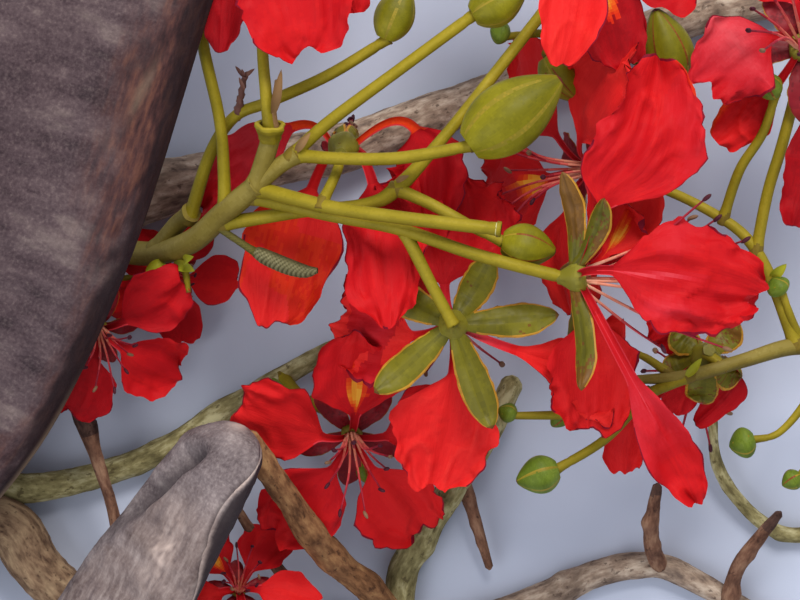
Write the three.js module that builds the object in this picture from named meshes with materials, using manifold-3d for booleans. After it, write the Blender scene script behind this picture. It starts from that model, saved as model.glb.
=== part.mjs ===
// A cut flowering branch of a flame tree, lying on a level floor.
// Millimetres, +Z up, the floor at z = 0. The camera side of the branch is up.
import * as THREE from 'three';
import Module from 'manifold-3d';

const wasm = await Module();
wasm.setup();
const { Manifold, Mesh } = wasm;

// Driving dimensions
const MIDDLE = [-33.93, -27.28];  // middle of the branch's box, brought to the origin
const FLOOR = 0;
const GAP = 0.3;                  // clearance between neighbouring pieces
const BOUGH_SIDES = 8;
const TWIG_SIDES = 6;
const STALK_SIDES = 5;
const PEDICEL_SIDES = 4;
const STAMEN_SIDES = 3;
const BARK_STEP = 17;             // length of a bough between two rings
const STALK_STEP = 17;
const SMOOTHING = 0.02;           // how far a cut surface may be evened out
const BUD_RINGS = [0, 0.12, 0.34, 0.6, 0.84];
const SMALL_BUD_RINGS = [0, 0.3, 0.7];
const BUD_FOOT = 0.12;            // how far the round of a bud has opened at its foot
const BUD_ROUND = 0.86;           // how much of the round the rest of the bud takes
const CLAW_HALF = 1.3;            // half width of a petal's narrow foot
const CLAW_THICK = 1.8;
const CLAW_END = 0.42;            // share of the petal at which the blade begins
const WIDEST = 0.74;              // share of the petal at which the blade is widest
const TIP_CURVE = 0.92;           // 1 would close the blade to a point at its tip
const LEVEL_AT = 0.75;            // share of a blade's length at which it lies level
const STRAIGHT = 0.01;            // a spine that bends less than this counts as straight
const PETAL_THICK = 0.9;
const PETAL_CUP = 0.14;           // rise of a blade's rims, as a share of its half width
const PETAL_WAVE = 1.5;           // height of the waves in a blade's rim
const PETAL_ROWS = [0, 0.42, 0.54, 0.66, 0.82, 1];
const PLAIN_PETAL_ROWS = [0, 0.46, 0.72, 1];
const SEPAL_HALF = 4.7;
const SEPAL_THICK = 1.3;
const SEPAL_BEND = 2.5;           // how far a sepal's middle bows out
const SEPAL_CUP = 0.22;
const SEPAL_ROWS = [0, 0.35, 0.7, 1];
const SMALL_SEPAL_ROWS = [0, 0.5, 1];
const SEPAL_LEVEL = 0.45;         // where the sepals stand, as a share of the calyx
const PETAL_LEVEL = 0.8;          // where the petals stand
const WHORL_STEP = 0.3;           // rise from one petal of a whorl to the next
const CALYX_DEEP = 7;             // from the pedicel to the mouth of the calyx
const CALYX_RING = 2.6;           // from the middle of the calyx to the feet of the petals
const STAMEN_LONG = 42;
const STAMEN_HALF = 0.45;
const ANTHER_HALF = 1.1;
const BLOOM_STAMENS = 3;
const PLAIN_STAMENS = 2;
const POD_THICK = 11;             // across the two faces of a pod
const POD_STEPS = 17;
const POD_TAPER = 0.3;            // share of the pod that narrows to its free tip

// Section of a pod: a shallow valley between two swollen rims, on both faces
const POD_SECTION = [
  [1, 0], [0.92, 0.65], [0.7, 1], [0, 0.6], [-0.7, 1], [-0.92, 0.65],
  [-1, 0], [-0.92, -0.65], [-0.7, -1], [0, -0.6], [0.7, -1], [0.92, -0.65],
];

// Limbs: each station is x, y, z and radius. A row with several names is one limb,
// split where it bends, at the station numbers given between the names.
const LIMBS = [
  {
    names: ['main_bough', 'lower_bough', 'bottom_bough'],
    splits: [2, 6],
    sides: BOUGH_SIDES,
    stations: [
      [-200, -36, 10.8, 12], [-178, -45, 10.8, 11.5], [-136, -60, 9.4, 10.4],
      [-115, -64, 7, 7.8], [-105, -76, 6.5, 7.2], [-92, -88, 6.1, 6.8], [-69, -103, 5.4, 6],
      [-35, -103, 4.7, 5.2], [0, -98, 4.1, 4.6], [40, -87, 3.5, 3.9], [58, -79, 3.3, 3.7],
      [75, -77, 3.1, 3.5], [94, -86, 2.8, 3.1], [116, -99, 2.3, 2.6],
    ],
  },
  {
    names: ['upper_bough', 'long_bough', 'side_bough'],
    splits: [3, 8],
    sides: BOUGH_SIDES,
    stations: [
      [-135, -61, 8.7, 9.6], [-120, -30, 8.4, 9.3], [-104, 3, 8.1, 9], [-83, 25, 7.4, 8.2],
      [-57, 35, 6.7, 7.4], [-20, 43, 6.1, 6.8], [15, 55, 5.8, 6.4], [58, 72, 5.4, 6],
      [92, 84, 4.9, 5.4], [120, 86, 4.3, 4.8], [139, 66, 4, 4.4], [144, 34, 3.6, 4],
      [139, 0, 3.2, 3.6], [134, -22, 2.9, 3.2],
    ],
  },
  {
    names: ['middle_bough'], sides: TWIG_SIDES,
    stations: [
      [-124, -44, 8, 4.4], [-109, -54, 6, 4], [-74, -46, 5, 3.6], [-49, -31, 6, 3.2],
      [-18, -13, 9, 2.6],
    ],
  },
  {
    names: ['pod_bough'], sides: TWIG_SIDES,
    stations: [
      [-90, 22, 8, 4.6], [-87, 48, 6, 4.3], [-82, 84, 5, 4], [-74, 120, 12, 3.7],
      [-62, 150, 36, 3.4], [-54, 170, 62, 3], [-52, 176, 70, 2.6],
    ],
  },
  {
    names: ['rear_bough'], sides: TWIG_SIDES,
    stations: [
      [0, -98, 4.1, 4.4], [1, -78, 5, 4.2], [12, -59, 8, 4], [23, -43, 11, 3.8],
      [33, -22, 14, 3.2],
    ],
  },
  {
    names: ['pod_twig'], sides: TWIG_SIDES,
    stations: [
      [-1, -92, 6, 3.6], [-8, -84, 13, 4.2], [-23, -68, 30, 4.1], [-34, -51, 47, 3.6],
      [-42, -36.5, 59, 2.4],
    ],
  },
  {
    names: ['rear_twig'], sides: STALK_SIDES,
    stations: [[18, -51, 9, 2], [22, -64, 7, 1.7], [26, -78, 4, 1.1]],
  },
  {
    names: ['bent_twig'], sides: STALK_SIDES,
    stations: [
      [-14, -101, 5, 2.2], [-24, -90, 9, 2], [-31, -82, 12, 1.9], [-40, -70, 16, 1.6],
      [-47, -58, 20, 1.1],
    ],
  },
  {
    names: ['dead_twig'], sides: STALK_SIDES,
    stations: [
      [-77, -99, 6, 2.2], [-81, -66, 15, 1.8], [-86, -46, 21, 1.7], [-89, -36, 23, 2.6],
      [-91, -31, 25, 2.2], [-94, -18, 28, 1],
    ],
  },
  {
    names: ['tip_twig_1'], sides: STALK_SIDES,
    stations: [[75, -77, 4, 2.6], [72, -70, 13, 2.3], [72, -60, 21, 2], [73, -52, 26, 1.3]],
  },
  {
    names: ['tip_twig_2'], sides: STALK_SIDES,
    stations: [[95, -87, 4, 2.6], [97, -77, 12, 2.2], [103, -67, 20, 1.8], [108, -60, 25, 1.1]],
  },
  {
    names: ['side_twig', 'side_twig_end'], splits: [3], sides: STALK_SIDES,
    stations: [
      [138, -14, 4, 2.4], [139, -38, 3, 2.3], [130, -60, 2.6, 2.2], [116, -68, 2.4, 2.1],
      [103, -63, 3, 1.9], [92, -48, 6, 1.7], [90, -28, 9, 1.2],
    ],
  },
];

// Stems of the racemes, fused to one another in each raceme
const RACEMES = [
  {
    name: 'front_raceme',
    stems: [
      [[-92, 16, 9, 3.6], [-84, 15, 18, 3.5], [-70, 13, 34, 3.4], [-58, 16, 50, 3.3],
        [-48, 24, 62, 3.2], [-39, 31, 70, 3]],
      [[-39, 31, 70, 2.6], [-35, 43, 77, 2.6], [-35, 47, 79, 3.2]],
      [[-39, 31, 70, 2.4], [-33, 36, 74, 2.3], [-28, 39, 76, 2.2]],
      [[-68, 14, 36, 2.8], [-62, 21, 44, 2.6], [-58, 24, 51, 2.4]],
      [[-48, 24, 62, 1.9], [-48, 34, 65, 1.7], [-49, 49, 69, 1.6], [-53, 68, 74, 1.6],
        [-55, 84, 77, 1.5], [-52, 92, 79, 1.4]],
      [[-58, 23, 50, 1.9], [-52, 40, 60, 1.7], [-45, 50, 66, 1.6], [-35, 54, 70, 1.6],
        [-19, 61, 74, 1.6], [-4, 70, 76, 1.5]],
      [[-44, 51, 67, 1.5], [-43, 56, 71, 1.5], [-42, 60, 74, 1]],
      [[-35, 45, 79, 1.7], [-36, 56, 82, 1.6], [-37, 73, 78, 1.5], [-35, 104, 75, 1.5]],
      [[-33, 45, 79, 1.3], [-34, 54, 83, 1], [-33, 60, 86, 0.6]],
      [[-29, 39, 76, 1.8], [-19, 48, 78, 1.7], [0, 62, 80, 1.6], [19, 76, 80, 1.6]],
      [[-28, 39, 76, 1.8], [-16, 38, 80, 1.7], [0, 38, 84, 1.7], [18, 41, 86, 1.6]],
      [[-38, 30, 70, 2.1], [-19, 25, 80, 1.9], [0, 22, 86, 1.8], [25, 19, 88, 1.8]],
      [[-21, 26, 79, 1.5], [-17, 35, 73, 1.4], [-16, 41, 69, 1.5]],
      [[-48, 21, 60, 2], [-27, 24, 68, 1.7], [-9, 26, 72, 1.7], [-1, 30, 74, 2.1],
        [11, 43, 74, 1.6], [27, 63, 70, 1.6], [41, 81, 66, 1.6]],
      [[-1, 30, 74, 1.7], [8, 26, 76, 1.6], [19, 20, 77, 1.5], [27, 16, 78, 1.4]],
      [[-40, 28, 67, 2], [-19, 23, 74, 1.8], [0, 19, 80, 1.7], [21, 12, 82, 1.7],
        [44, 6, 82, 1.7]],
      [[1, 19, 79, 1.8], [8, 5, 80, 1.6], [14, -6, 79, 1.6]],
      [[-62, 14, 45, 1], [-60, 9, 44, 1.2], [-59, 3, 43, 0.6]],
    ],
    buds: [],
  },
  {
    name: 'side_raceme',
    stems: [
      [[135, -20, 5, 2.6], [130, -18, 22, 2.5], [122, -14, 36, 2.4], [109, -13, 44, 2.4],
        [94, -17, 50, 2], [79, -21, 52, 1.8], [63, -22, 52, 1.1]],
      [[80, -21, 52, 1.6], [68, -26, 52, 1.5], [56, -31, 52, 1.5], [30, -32, 52, 1]],
      [[68, -26, 52, 1.4], [57, -38, 54, 1.3], [44, -46, 56, 1.3]],
      [[74, -20, 51, 1.2], [68, -16, 51, 1.1], [63, -14, 51, 0.9]],
      [[110, -12, 44, 2], [103, 6, 46, 1.7], [98, 15, 46, 1.6], [92, 21, 45, 1.5],
        [80, 28, 43, 1.4], [66, 34, 41, 1.4], [58, 37, 40, 1.4]],
      [[99, 14, 46, 1.6], [102, 30, 48, 1.6], [106, 44, 50, 1.6], [112, 68, 52, 1.5]],
      [[90, 23, 45, 1.4], [94, 36, 50, 1.4], [100, 46, 54, 1.3], [103, 56, 58, 1.2]],
      [[122, -14, 36, 1.4], [114, -28, 38, 1.2], [106, -37, 40, 1], [99, -39, 40, 1]],
      [[116, -25, 38, 1.1], [118, -38, 38, 1], [112, -49, 38, 0.9]],
      [[112, -12, 43, 1.4], [109, -6, 46, 1.2], [106, 2, 48, 1]],
      [[89, -18, 51, 1.3], [85, -15, 50, 1.5]],
    ],
    buds: [
      [[57, -30, 50], [51, -33, 47], 4.4], [[46, -31, 50], [42, -35, 48], 2.6],
      [[32, -32, 52], [27, -30, 52], 2.8], [[99, -39, 40], [92, -41, 40], 4.4],
      [[112, -49, 38], [107, -52, 38], 3], [[63.4, -22.3, 52.2], [60, -22, 51], 1.8],
      [[103, 56, 58], [99, 62, 62], 3.6], [[106, 2, 48], [103, 6, 50], 3.4],
    ],
  },
  {
    name: 'rear_raceme',
    stems: [
      [[60, 72, 8, 2.2], [60, 70, 24, 2], [54, 72, 36, 1.7], [46, 71, 45, 1.5],
        [41, 68, 50, 1.4]],
      [[60, 71, 22, 1.8], [70, 66, 36, 1.7], [77, 60, 50, 1.6]],
      [[50, 72, 40, 1.4], [40, 74, 46, 1.2], [30, 73, 50, 1]],
    ],
    buds: [[[30, 73, 50], [25, 75, 51], 3.2]],
  },
  {
    name: 'left_raceme',
    stems: [
      [[-104, 4, 9, 2.2], [-97, 2, 22, 1.9], [-90, -2, 31, 1.7], [-85, -6, 36, 1.6]],
      [[-95, 1, 25, 1.6], [-84, 4, 20, 1.5], [-73, 7, 15, 1.5], [-67, 8, 13, 1.5]],
    ],
    buds: [],
  },
  {
    name: 'middle_raceme',
    stems: [
      [[-34, -22, 8, 2], [-28, -28, 16, 1.7], [-20, -32, 24, 1.5], [-14, -36, 31, 1.5]],
      [[-26, -29, 18, 1.3], [-31, -31, 22, 1.1], [-34, -27, 26, 0.9]],
      [[-18, -33.6, 26, 1.2], [-12, -40, 27, 1], [-11, -46, 28, 0.8]],
    ],
    buds: [[[-34, -27, 26], [-36, -22, 28], 1.8], [[-11, -46, 28], [-9, -52, 29], 2.2]],
  },
  {
    name: 'low_stalk',
    stems: [[[-34, -102, 6, 1.8], [-43, -94, 14, 1.5], [-46, -84, 22, 1.4]]],
    buds: [],
  },
];

// Large buds: foot, tip and widest radius
const BUDS = {
  bud_1: [[-4, 70.5, 76], [2, 85, 78], 5.4],
  bud_2: [[19.5, 76.5, 80], [34, 84, 80], 6.2],
  bud_3: [[18.5, 41.3, 86], [43, 59, 88], 9.4],
  bud_4: [[27.5, 15.8, 78], [42, 13, 78], 6],
  bud_5: [[77, 60.5, 51], [70, 80, 58], 6.8],
  bud_6: [[40.5, 67.5, 50.5], [50, 55, 50], 6],
  bud_7: [[43.5, -46.5, 56], [32, -50, 56], 5.3],
};

// Blooms whose petals show: foot and direction of the calyx, the tips of the sepals, and
// for each petal the end of its claw, its tip and its width. The blades face up.
const BLOOMS = {
  bloom_front: {
    foot: [14, -6, 78], out: [0.08, -0.16, -0.98],
    sepals: [[-7, -25, 73], [25, -35, 70], [43, -4, 73], [25, 12, 72], [-5, 4, 68]],
    petals: [
      [[14, -24, 64], [9, -51, 52], 28], [[1, -10, 62], [-18, -7, 48], 27],
      [[36, -15, 67], [61, -20, 62], 34], [[12, 8, 64], [14, 36, 57], 44],
      [[6, 0, 54], [-12, 10, 34], 28],
    ],
  },
  bloom_side: {
    foot: [43.5, 6, 82], out: [0.96, 0.02, 0.28],
    sepals: [[43, 34, 92], [54, 27, 98], [48, -24, 95], [44, 8, 60], [46, -14, 62]],
    petals: [
      [[55, 27, 92], [71, 64, 93], 28], [[57, 15, 80], [66, 34, 75], 19],
      [[62, 9, 95], [97, 4, 88], 30], [[58, -14, 88], [81, -55, 72], 19],
      [[52, -8, 72], [52, -36, 62], 26],
    ],
  },
  bloom_back: {
    foot: [-16, 40, 70], out: [0.1, 0.35, -0.93],
    sepals: [[-28, 60, 62], [6, 60, 60], [10, 30, 58], [-38, 40, 60], [-20, 22, 54]],
    petals: [
      [[-31, 47, 57], [-55, 25, 44], 22], [[-24, 31, 58], [-35, -8, 50], 26],
      [[-7, 30, 68], [-3, -6, 74], 23], [[4, 47, 62], [8, 18, 57], 20],
      [[-12, 52, 54], [-24, 68, 46], 28],
    ],
  },
  bloom_top: {
    foot: [-35, 103, 75], out: [0.1, 0.9, 0.42],
    sepals: [[-44, 92, 90], [-18, 96, 90], [-34, 122, 94], [-56, 112, 74], [-14, 116, 72]],
    petals: [
      [[-30, 94, 92], [-25, 65, 89], 31], [[-44, 96, 84], [-48, 67, 81], 12],
      [[-22, 98, 86], [-12, 77, 89], 14], [[-48, 120, 78], [-62, 138, 64], 28],
      [[-24, 124, 78], [-12, 144, 64], 28],
    ],
  },
  bloom_upper: {
    foot: [41, 81, 66], out: [0.35, 0.75, 0.55],
    sepals: [[30, 96, 74], [56, 92, 78], [62, 100, 62], [44, 108, 62], [38, 92, 46]],
    petals: [
      [[47, 85, 81], [43, 63, 84], 18], [[54, 84, 72], [61, 63, 68], 20],
      [[52, 100, 72], [62, 118, 64], 30], [[36, 104, 70], [24, 122, 60], 30],
      [[62, 90, 62], [86, 96, 50], 28],
    ],
  },
  bloom_right: {
    foot: [112, 68, 52], out: [-0.2, 0.3, 0.93],
    sepals: [[126, 60, 56], [122, 84, 56], [102, 86, 52], [92, 66, 50], [112, 48, 54]],
    petals: [
      [[99, 71, 62], [84, 58, 60], 24], [[101, 56, 54], [88, 44, 52], 15],
      [[108, 84, 58], [97, 96, 52], 18], [[113, 48, 56], [108, 20, 52], 12],
      [[126, 72, 56], [142, 78, 44], 24],
    ],
  },
  bloom_right_low: {
    foot: [85.3, -14.2, 50.4], out: [-0.1, -0.35, -0.93],
    sepals: [[76, -7, 46], [94, -6, 45], [95, -22, 44], [84, -29, 46], [73, -20, 45]],
    petals: [
      [[79, -8, 41], [70, -12, 38], 13], [[81, -21, 42], [76, -32, 38], 11],
      [[94, -22, 41], [84, -34, 35], 9], [[90, -4, 38], [98, 6, 30], 16],
      [[67, -32, 42], [63, -48, 37], 14],
    ],
  },
};

// Blooms further back, by the general rule: foot, direction of the calyx, turn of the
// petals round it in degrees, and size beside a full bloom
const PLAIN_BLOOMS = {
  bloom_far_right: [[57.5, 37, 40], [-0.88, -0.08, 0.46], 100, 0.86],
  bloom_far_left: [[-85, -6, 36], [0.25, -0.5, 0.83], 23, 0.56],
  bloom_left: [[-67, 8, 13], [0.3, -0.25, 0.92], 50, 0.4],
  bloom_middle: [[-14, -36, 31], [0.1, -0.45, 0.88], 0, 0.72],
  bloom_low_left: [[-46, -84, 22], [0.1, 0.5, 0.86], 40, 0.44],
};

// Pods: the middle line from the stalk to the free tip, and the roll of the broad faces
// in degrees at the two ends, where 0 turns them up. wide is the greatest width, and
// blunt the share of the pod in which its stalk end opens to that width.
const PODS = {
  pod_1: {
    line: [[-51, 176, 72], [-62, 132, 86], [-77, 88, 91], [-97, 26, 85], [-117, -16, 68],
      [-135, -40, 54], [-162, -73, 36], [-190, -106, 18], [-213, -134, 1.3]],
    roll: [-12, -8],
    wide: 57,
    blunt: 0.16,
  },
  pod_2: {
    line: [[-43, -37, 59], [-50, -45, 61], [-64, -66, 58], [-85, -103, 45],
      [-101, -142, 31], [-112, -182, 17], [-118, -232, 1.3]],
    roll: [60, 14],
    wide: 46,
    blunt: 0.12,
  },
};

const FURLED_LEAF = [
  [-50, 20, 60, 1], [-41, 14, 62, 1.1], [-38, 12.5, 63, 1.9], [-31, 9.5, 64, 2.1],
  [-26, 8, 65, 1.7], [-22.5, 8, 66, 0.8],
];

const FINISHES = {
  bark: { color: 0x8b7356, roughness: 0.9, metalness: 0 },
  stem: { color: 0x8a8f35, roughness: 0.6, metalness: 0 },
  bud: { color: 0x7d8f2c, roughness: 0.55, metalness: 0 },
  petal: { color: 0xd41f1c, roughness: 0.55, metalness: 0 },
  pod: { color: 0x5c4c4a, roughness: 0.5, metalness: 0 },
  leaf: { color: 0x8f8d6a, roughness: 0.75, metalness: 0 },
};

const point = (row) => new THREE.Vector3(row[0], row[1], row[2]);

// A closed solid from a row of rings. A ring of one point is a tip.
function solid(rings) {
  const points = rings.flat();
  const faces = [];
  let start = 0;
  for (let i = 0; i + 1 < rings.length; i += 1) {
    const low = rings[i].length;
    const high = rings[i + 1].length;
    const sides = Math.max(low, high);
    const next = start + low;
    for (let k = 0; k < sides; k += 1) {
      const a = start + (k % low);
      const b = start + ((k + 1) % low);
      const c = next + (k % high);
      const d = next + ((k + 1) % high);
      if (low > 1) faces.push([a, b, d]);
      if (high > 1) faces.push([a, d, c]);
    }
    start = next;
  }
  closeEnd(points, faces, 0, rings[0], true);
  closeEnd(points, faces, start, rings.at(-1), false);
  return manifoldOf(points, faces);
}

// A fan of faces over an open end, round the middle of its ring
function closeEnd(points, faces, start, ring, atFoot) {
  if (ring.length === 1) return;
  const middle = new THREE.Vector3();
  for (const corner of ring) middle.addScaledVector(corner, 1 / ring.length);
  points.push(middle);
  for (let k = 0; k < ring.length; k += 1) {
    const a = start + k;
    const b = start + ((k + 1) % ring.length);
    faces.push(atFoot ? [b, a, points.length - 1] : [a, b, points.length - 1]);
  }
}

function manifoldOf(points, faces) {
  let volume = 0;
  for (const [a, b, c] of faces) {
    volume += points[a].dot(new THREE.Vector3().crossVectors(points[b], points[c]));
  }
  const facesOut = volume > 0 ? faces : faces.map(([a, b, c]) => [a, c, b]);
  return new Manifold(new Mesh({
    numProp: 3,
    vertProperties: new Float32Array(points.flatMap((p) => [p.x, p.y, p.z])),
    triVerts: new Uint32Array(facesOut.flat()),
  }));
}

// A smooth line through the stations: t counts the stations from 0
function along(stations, t) {
  const i = Math.max(0, Math.min(Math.floor(t), stations.length - 2));
  const f = t - i;
  const b = stations[i];
  const c = stations[i + 1];
  const a = stations[i - 1] ?? b.map((value, k) => 2 * value - c[k]);
  const d = stations[i + 2] ?? c.map((value, k) => 2 * value - b[k]);
  return b.map((value, k) => 0.5 * (2 * value + (c[k] - a[k]) * f
    + (2 * a[k] - 5 * value + 4 * c[k] - d[k]) * f * f
    + (3 * value - a[k] - 3 * c[k] + d[k]) * f ** 3));
}

function slope(stations, t) {
  const ahead = point(along(stations, t + 0.02));
  return ahead.sub(point(along(stations, t - 0.02))).normalize();
}

// A round stem through its stations, between two station numbers
function stem(stations, sides, grow, from = 0, to = stations.length - 1) {
  let long = 0;
  for (let t = from; t < to; t += 0.25) {
    long += point(along(stations, t)).distanceTo(point(along(stations, t + 0.25)));
  }
  const step = sides === BOUGH_SIDES ? BARK_STEP : STALK_STEP;
  const fewest = Math.min(stations.length - 1, 3);
  const steps = Math.max(fewest, Math.round(long / step));
  const rings = [];
  let side = new THREE.Vector3(0, 0, 1);
  for (let i = 0; i <= steps; i += 1) {
    const t = from + ((to - from) * i) / steps;
    const station = along(stations, t);
    const forward = slope(stations, t);
    const centre = point(station);
    if (i === 0) centre.addScaledVector(forward, -grow);
    if (i === steps) centre.addScaledVector(forward, grow);
    side = side.clone().addScaledVector(forward, -side.dot(forward));
    if (side.lengthSq() < 0.01) side.set(1, 0, 0).addScaledVector(forward, -forward.x);
    side.normalize();
    const other = new THREE.Vector3().crossVectors(forward, side);
    const radius = station[3] + grow;
    const ring = [];
    for (let k = 0; k < sides; k += 1) {
      const angle = (2 * Math.PI * (k + 0.5)) / sides;
      const corner = centre.clone().addScaledVector(side, radius * Math.cos(angle));
      corner.addScaledVector(other, radius * Math.sin(angle));
      corner.z = Math.max(corner.z, FLOOR - grow);
      ring.push(corner);
    }
    rings.push(ring);
  }
  return solid(rings);
}

// A bud: round at its foot, with a blunt point
function bud([foot, tip, radius], rows, sides, grow) {
  const start = point(foot);
  const axis = point(tip).sub(start);
  const long = axis.length() + grow;
  axis.normalize();
  const side = new THREE.Vector3(0, 0, 1);
  if (Math.abs(axis.z) > 0.8) side.set(1, 0, 0);
  side.addScaledVector(axis, -side.dot(axis)).normalize();
  const other = new THREE.Vector3().crossVectors(axis, side);
  const rings = [];
  for (const share of rows) {
    const round = Math.sin(Math.PI * (BUD_FOOT + BUD_ROUND * share ** 0.9)) ** 0.8;
    const reach = (radius + grow) * round;
    const centre = start.clone().addScaledVector(axis, share === 0 ? -grow : share * long);
    const ring = [];
    for (let k = 0; k < sides; k += 1) {
      const angle = (2 * Math.PI * k) / sides;
      const corner = centre.clone().addScaledVector(side, reach * Math.cos(angle));
      ring.push(corner.addScaledVector(other, reach * Math.sin(angle)));
    }
    rings.push(ring);
  }
  rings.push([start.clone().addScaledVector(axis, long)]);
  return solid(rings);
}

// A thin blade on a bent spine from foot through via to tip. half, rise and thick give
// its half width, the height of its surface and its thickness at a share of its length.
function blade({ foot, via, tip, face, rows, columns, half, rise, thick }, grow) {
  const bend = via.clone().multiplyScalar(2).addScaledVector(foot, -0.5).addScaledVector(tip, -0.5);
  const first = bend.clone().sub(foot);
  const last = tip.clone().sub(bend);
  const heading = (u) => first.clone().multiplyScalar(1 - u).addScaledVector(last, u).normalize();
  // The blade faces its way near the tip, and from there to its foot it bends without a twist
  const level = heading(LEVEL_AT).cross(face).normalize();
  const axle = first.clone().cross(last);
  if (axle.length() < STRAIGHT * first.length() * last.length()) axle.copy(level);
  axle.normalize();
  const straight = level.dot(axle);
  const turned = level.dot(axle.clone().cross(heading(LEVEL_AT)));
  const rings = rows.map((u) => {
    const centre = foot.clone().multiplyScalar((1 - u) ** 2);
    centre.addScaledVector(bend, 2 * u * (1 - u)).addScaledVector(tip, u * u);
    const forward = heading(u);
    const across = axle.clone().cross(forward).multiplyScalar(turned);
    across.addScaledVector(axle, straight).normalize();
    const up = new THREE.Vector3().crossVectors(across, forward);
    if (u === 1) centre.addScaledVector(forward, grow);
    const reach = half(u) + grow;
    const corner = (v, level) => centre.clone().addScaledVector(across, v * reach)
      .addScaledVector(up, rise(u, v) + level * (thick(u) / 2 + grow));
    if (half(u) === 0) return [corner(0, 0)];
    const ring = [];
    for (let k = 0; k <= columns; k += 1) {
      const v = (2 * k) / columns - 1;
      ring.push(corner(v, k > 0 && k < columns ? 1 : 0));
    }
    for (let k = columns - 1; k > 0; k -= 1) ring.push(corner((2 * k) / columns - 1, -1));
    return ring;
  });
  return solid(rings);
}

function petal({ foot, via, tip, face, width, wave, rows }, grow) {
  const half = (u) => {
    if (u < CLAW_END) return CLAW_HALF;
    if (u < WIDEST) {
      const f = (u - CLAW_END) / (WIDEST - CLAW_END);
      return CLAW_HALF + (width / 2 - CLAW_HALF) * f * f * (3 - 2 * f);
    }
    const f = (u - WIDEST) / (1 - WIDEST);
    return (width / 2) * Math.sqrt(1 - TIP_CURVE * f * f);
  };
  const rise = (u, v) => {
    const open = Math.max(0, (u - CLAW_END) / (1 - CLAW_END));
    const ripple = PETAL_WAVE * open * v * v * Math.sin(wave + 6 * u + 2.6 * v);
    return PETAL_CUP * half(u) * v * v * open + ripple;
  };
  const thick = (u) => (u < CLAW_END ? CLAW_THICK : PETAL_THICK);
  return blade({ foot, via, tip, face, rows, columns: 2, half, rise, thick }, grow);
}

function sepal({ foot, tip, out, size }, grow) {
  const middle = foot.clone().lerp(tip, 0.5);
  const via = middle.addScaledVector(out, SEPAL_BEND * size);
  const half = (u) => {
    if (u === 1) return 0;
    return SEPAL_HALF * size * Math.sin(Math.PI * (0.16 + 0.8 * u)) ** 0.8;
  };
  const rise = (u, v) => -SEPAL_CUP * half(u) * v * v;
  const thick = () => Math.max(0.8, SEPAL_THICK * size);
  const face = out.clone().negate();
  const rows = size === 1 ? SEPAL_ROWS : SMALL_SEPAL_ROWS;
  return blade({ foot, via, tip, face, rows, columns: 2, half, rise, thick }, grow);
}

// Filaments from the mouth of the calyx, each with an anther
function stamens(mouth, out, size, count, grow) {
  const side = new THREE.Vector3(0, 1, 0).addScaledVector(out, -out.y).normalize();
  const other = new THREE.Vector3().crossVectors(out, side);
  const bodies = [];
  for (let k = 0; k < count; k += 1) {
    const angle = (2 * Math.PI * (k + 0.3)) / count;
    const spread = side.clone().multiplyScalar(Math.cos(angle));
    spread.addScaledVector(other, Math.sin(angle));
    const reach = STAMEN_LONG * size * (0.84 + 0.16 * Math.sin(5 * k + 1));
    const foot = mouth.clone().addScaledVector(out, -3 * size).addScaledVector(spread, size);
    const knee = mouth.clone().addScaledVector(out, reach * 0.5).addScaledVector(spread, 6 * size);
    const top = mouth.clone().addScaledVector(out, reach * 0.86)
      .addScaledVector(spread, reach * 0.4);
    const row = (p, radius) => [p.x, p.y, p.z, radius];
    bodies.push(stem([row(foot, STAMEN_HALF), row(knee, STAMEN_HALF), row(top, ANTHER_HALF)],
      STAMEN_SIDES, grow));
  }
  return bodies;
}

function calyx(foot, out, size, grow) {
  const rows = [[-1, 1.9], [1.5, 3], [4, 4.2], [CALYX_DEEP, 3.6]];
  const stations = rows.map(([far, radius]) => {
    const p = foot.clone().addScaledVector(out, far * size);
    return [p.x, p.y, p.z, Math.max(radius * size, 1.8)];
  });
  return stem(stations, TWIG_SIDES, grow);
}

// Where a petal or sepal stands on the calyx, on the side that faces its far end
function seat(middle, axis, far, size) {
  const away = far.clone().sub(middle);
  away.addScaledVector(axis, -away.dot(axis)).normalize();
  return middle.clone().addScaledVector(away, CALYX_RING * size);
}

function bloom({ foot, out, sepals, petals }, grow) {
  const start = point(foot);
  const axis = point(out).normalize();
  const mouth = start.clone().addScaledVector(axis, CALYX_DEEP * PETAL_LEVEL);
  const collar = start.clone().addScaledVector(axis, CALYX_DEEP * SEPAL_LEVEL);
  const bodies = petals.map(([knee, end, width], i) => {
    const face = new THREE.Vector3(0, 0, 1);
    const via = point(knee);
    const shape = { foot: seat(mouth, axis, via, 1), via, tip: point(end), face, width };
    return petal({ ...shape, wave: 1.7 * i, rows: PETAL_ROWS }, grow);
  });
  for (const row of sepals) {
    const tip = point(row);
    bodies.push(sepal({ foot: seat(collar, axis, tip, 1), tip, out: axis, size: 1 }, grow));
  }
  bodies.push(calyx(start, axis, 1, grow), ...stamens(mouth, axis, 1, BLOOM_STAMENS, grow));
  return Manifold.union(bodies);
}

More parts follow.
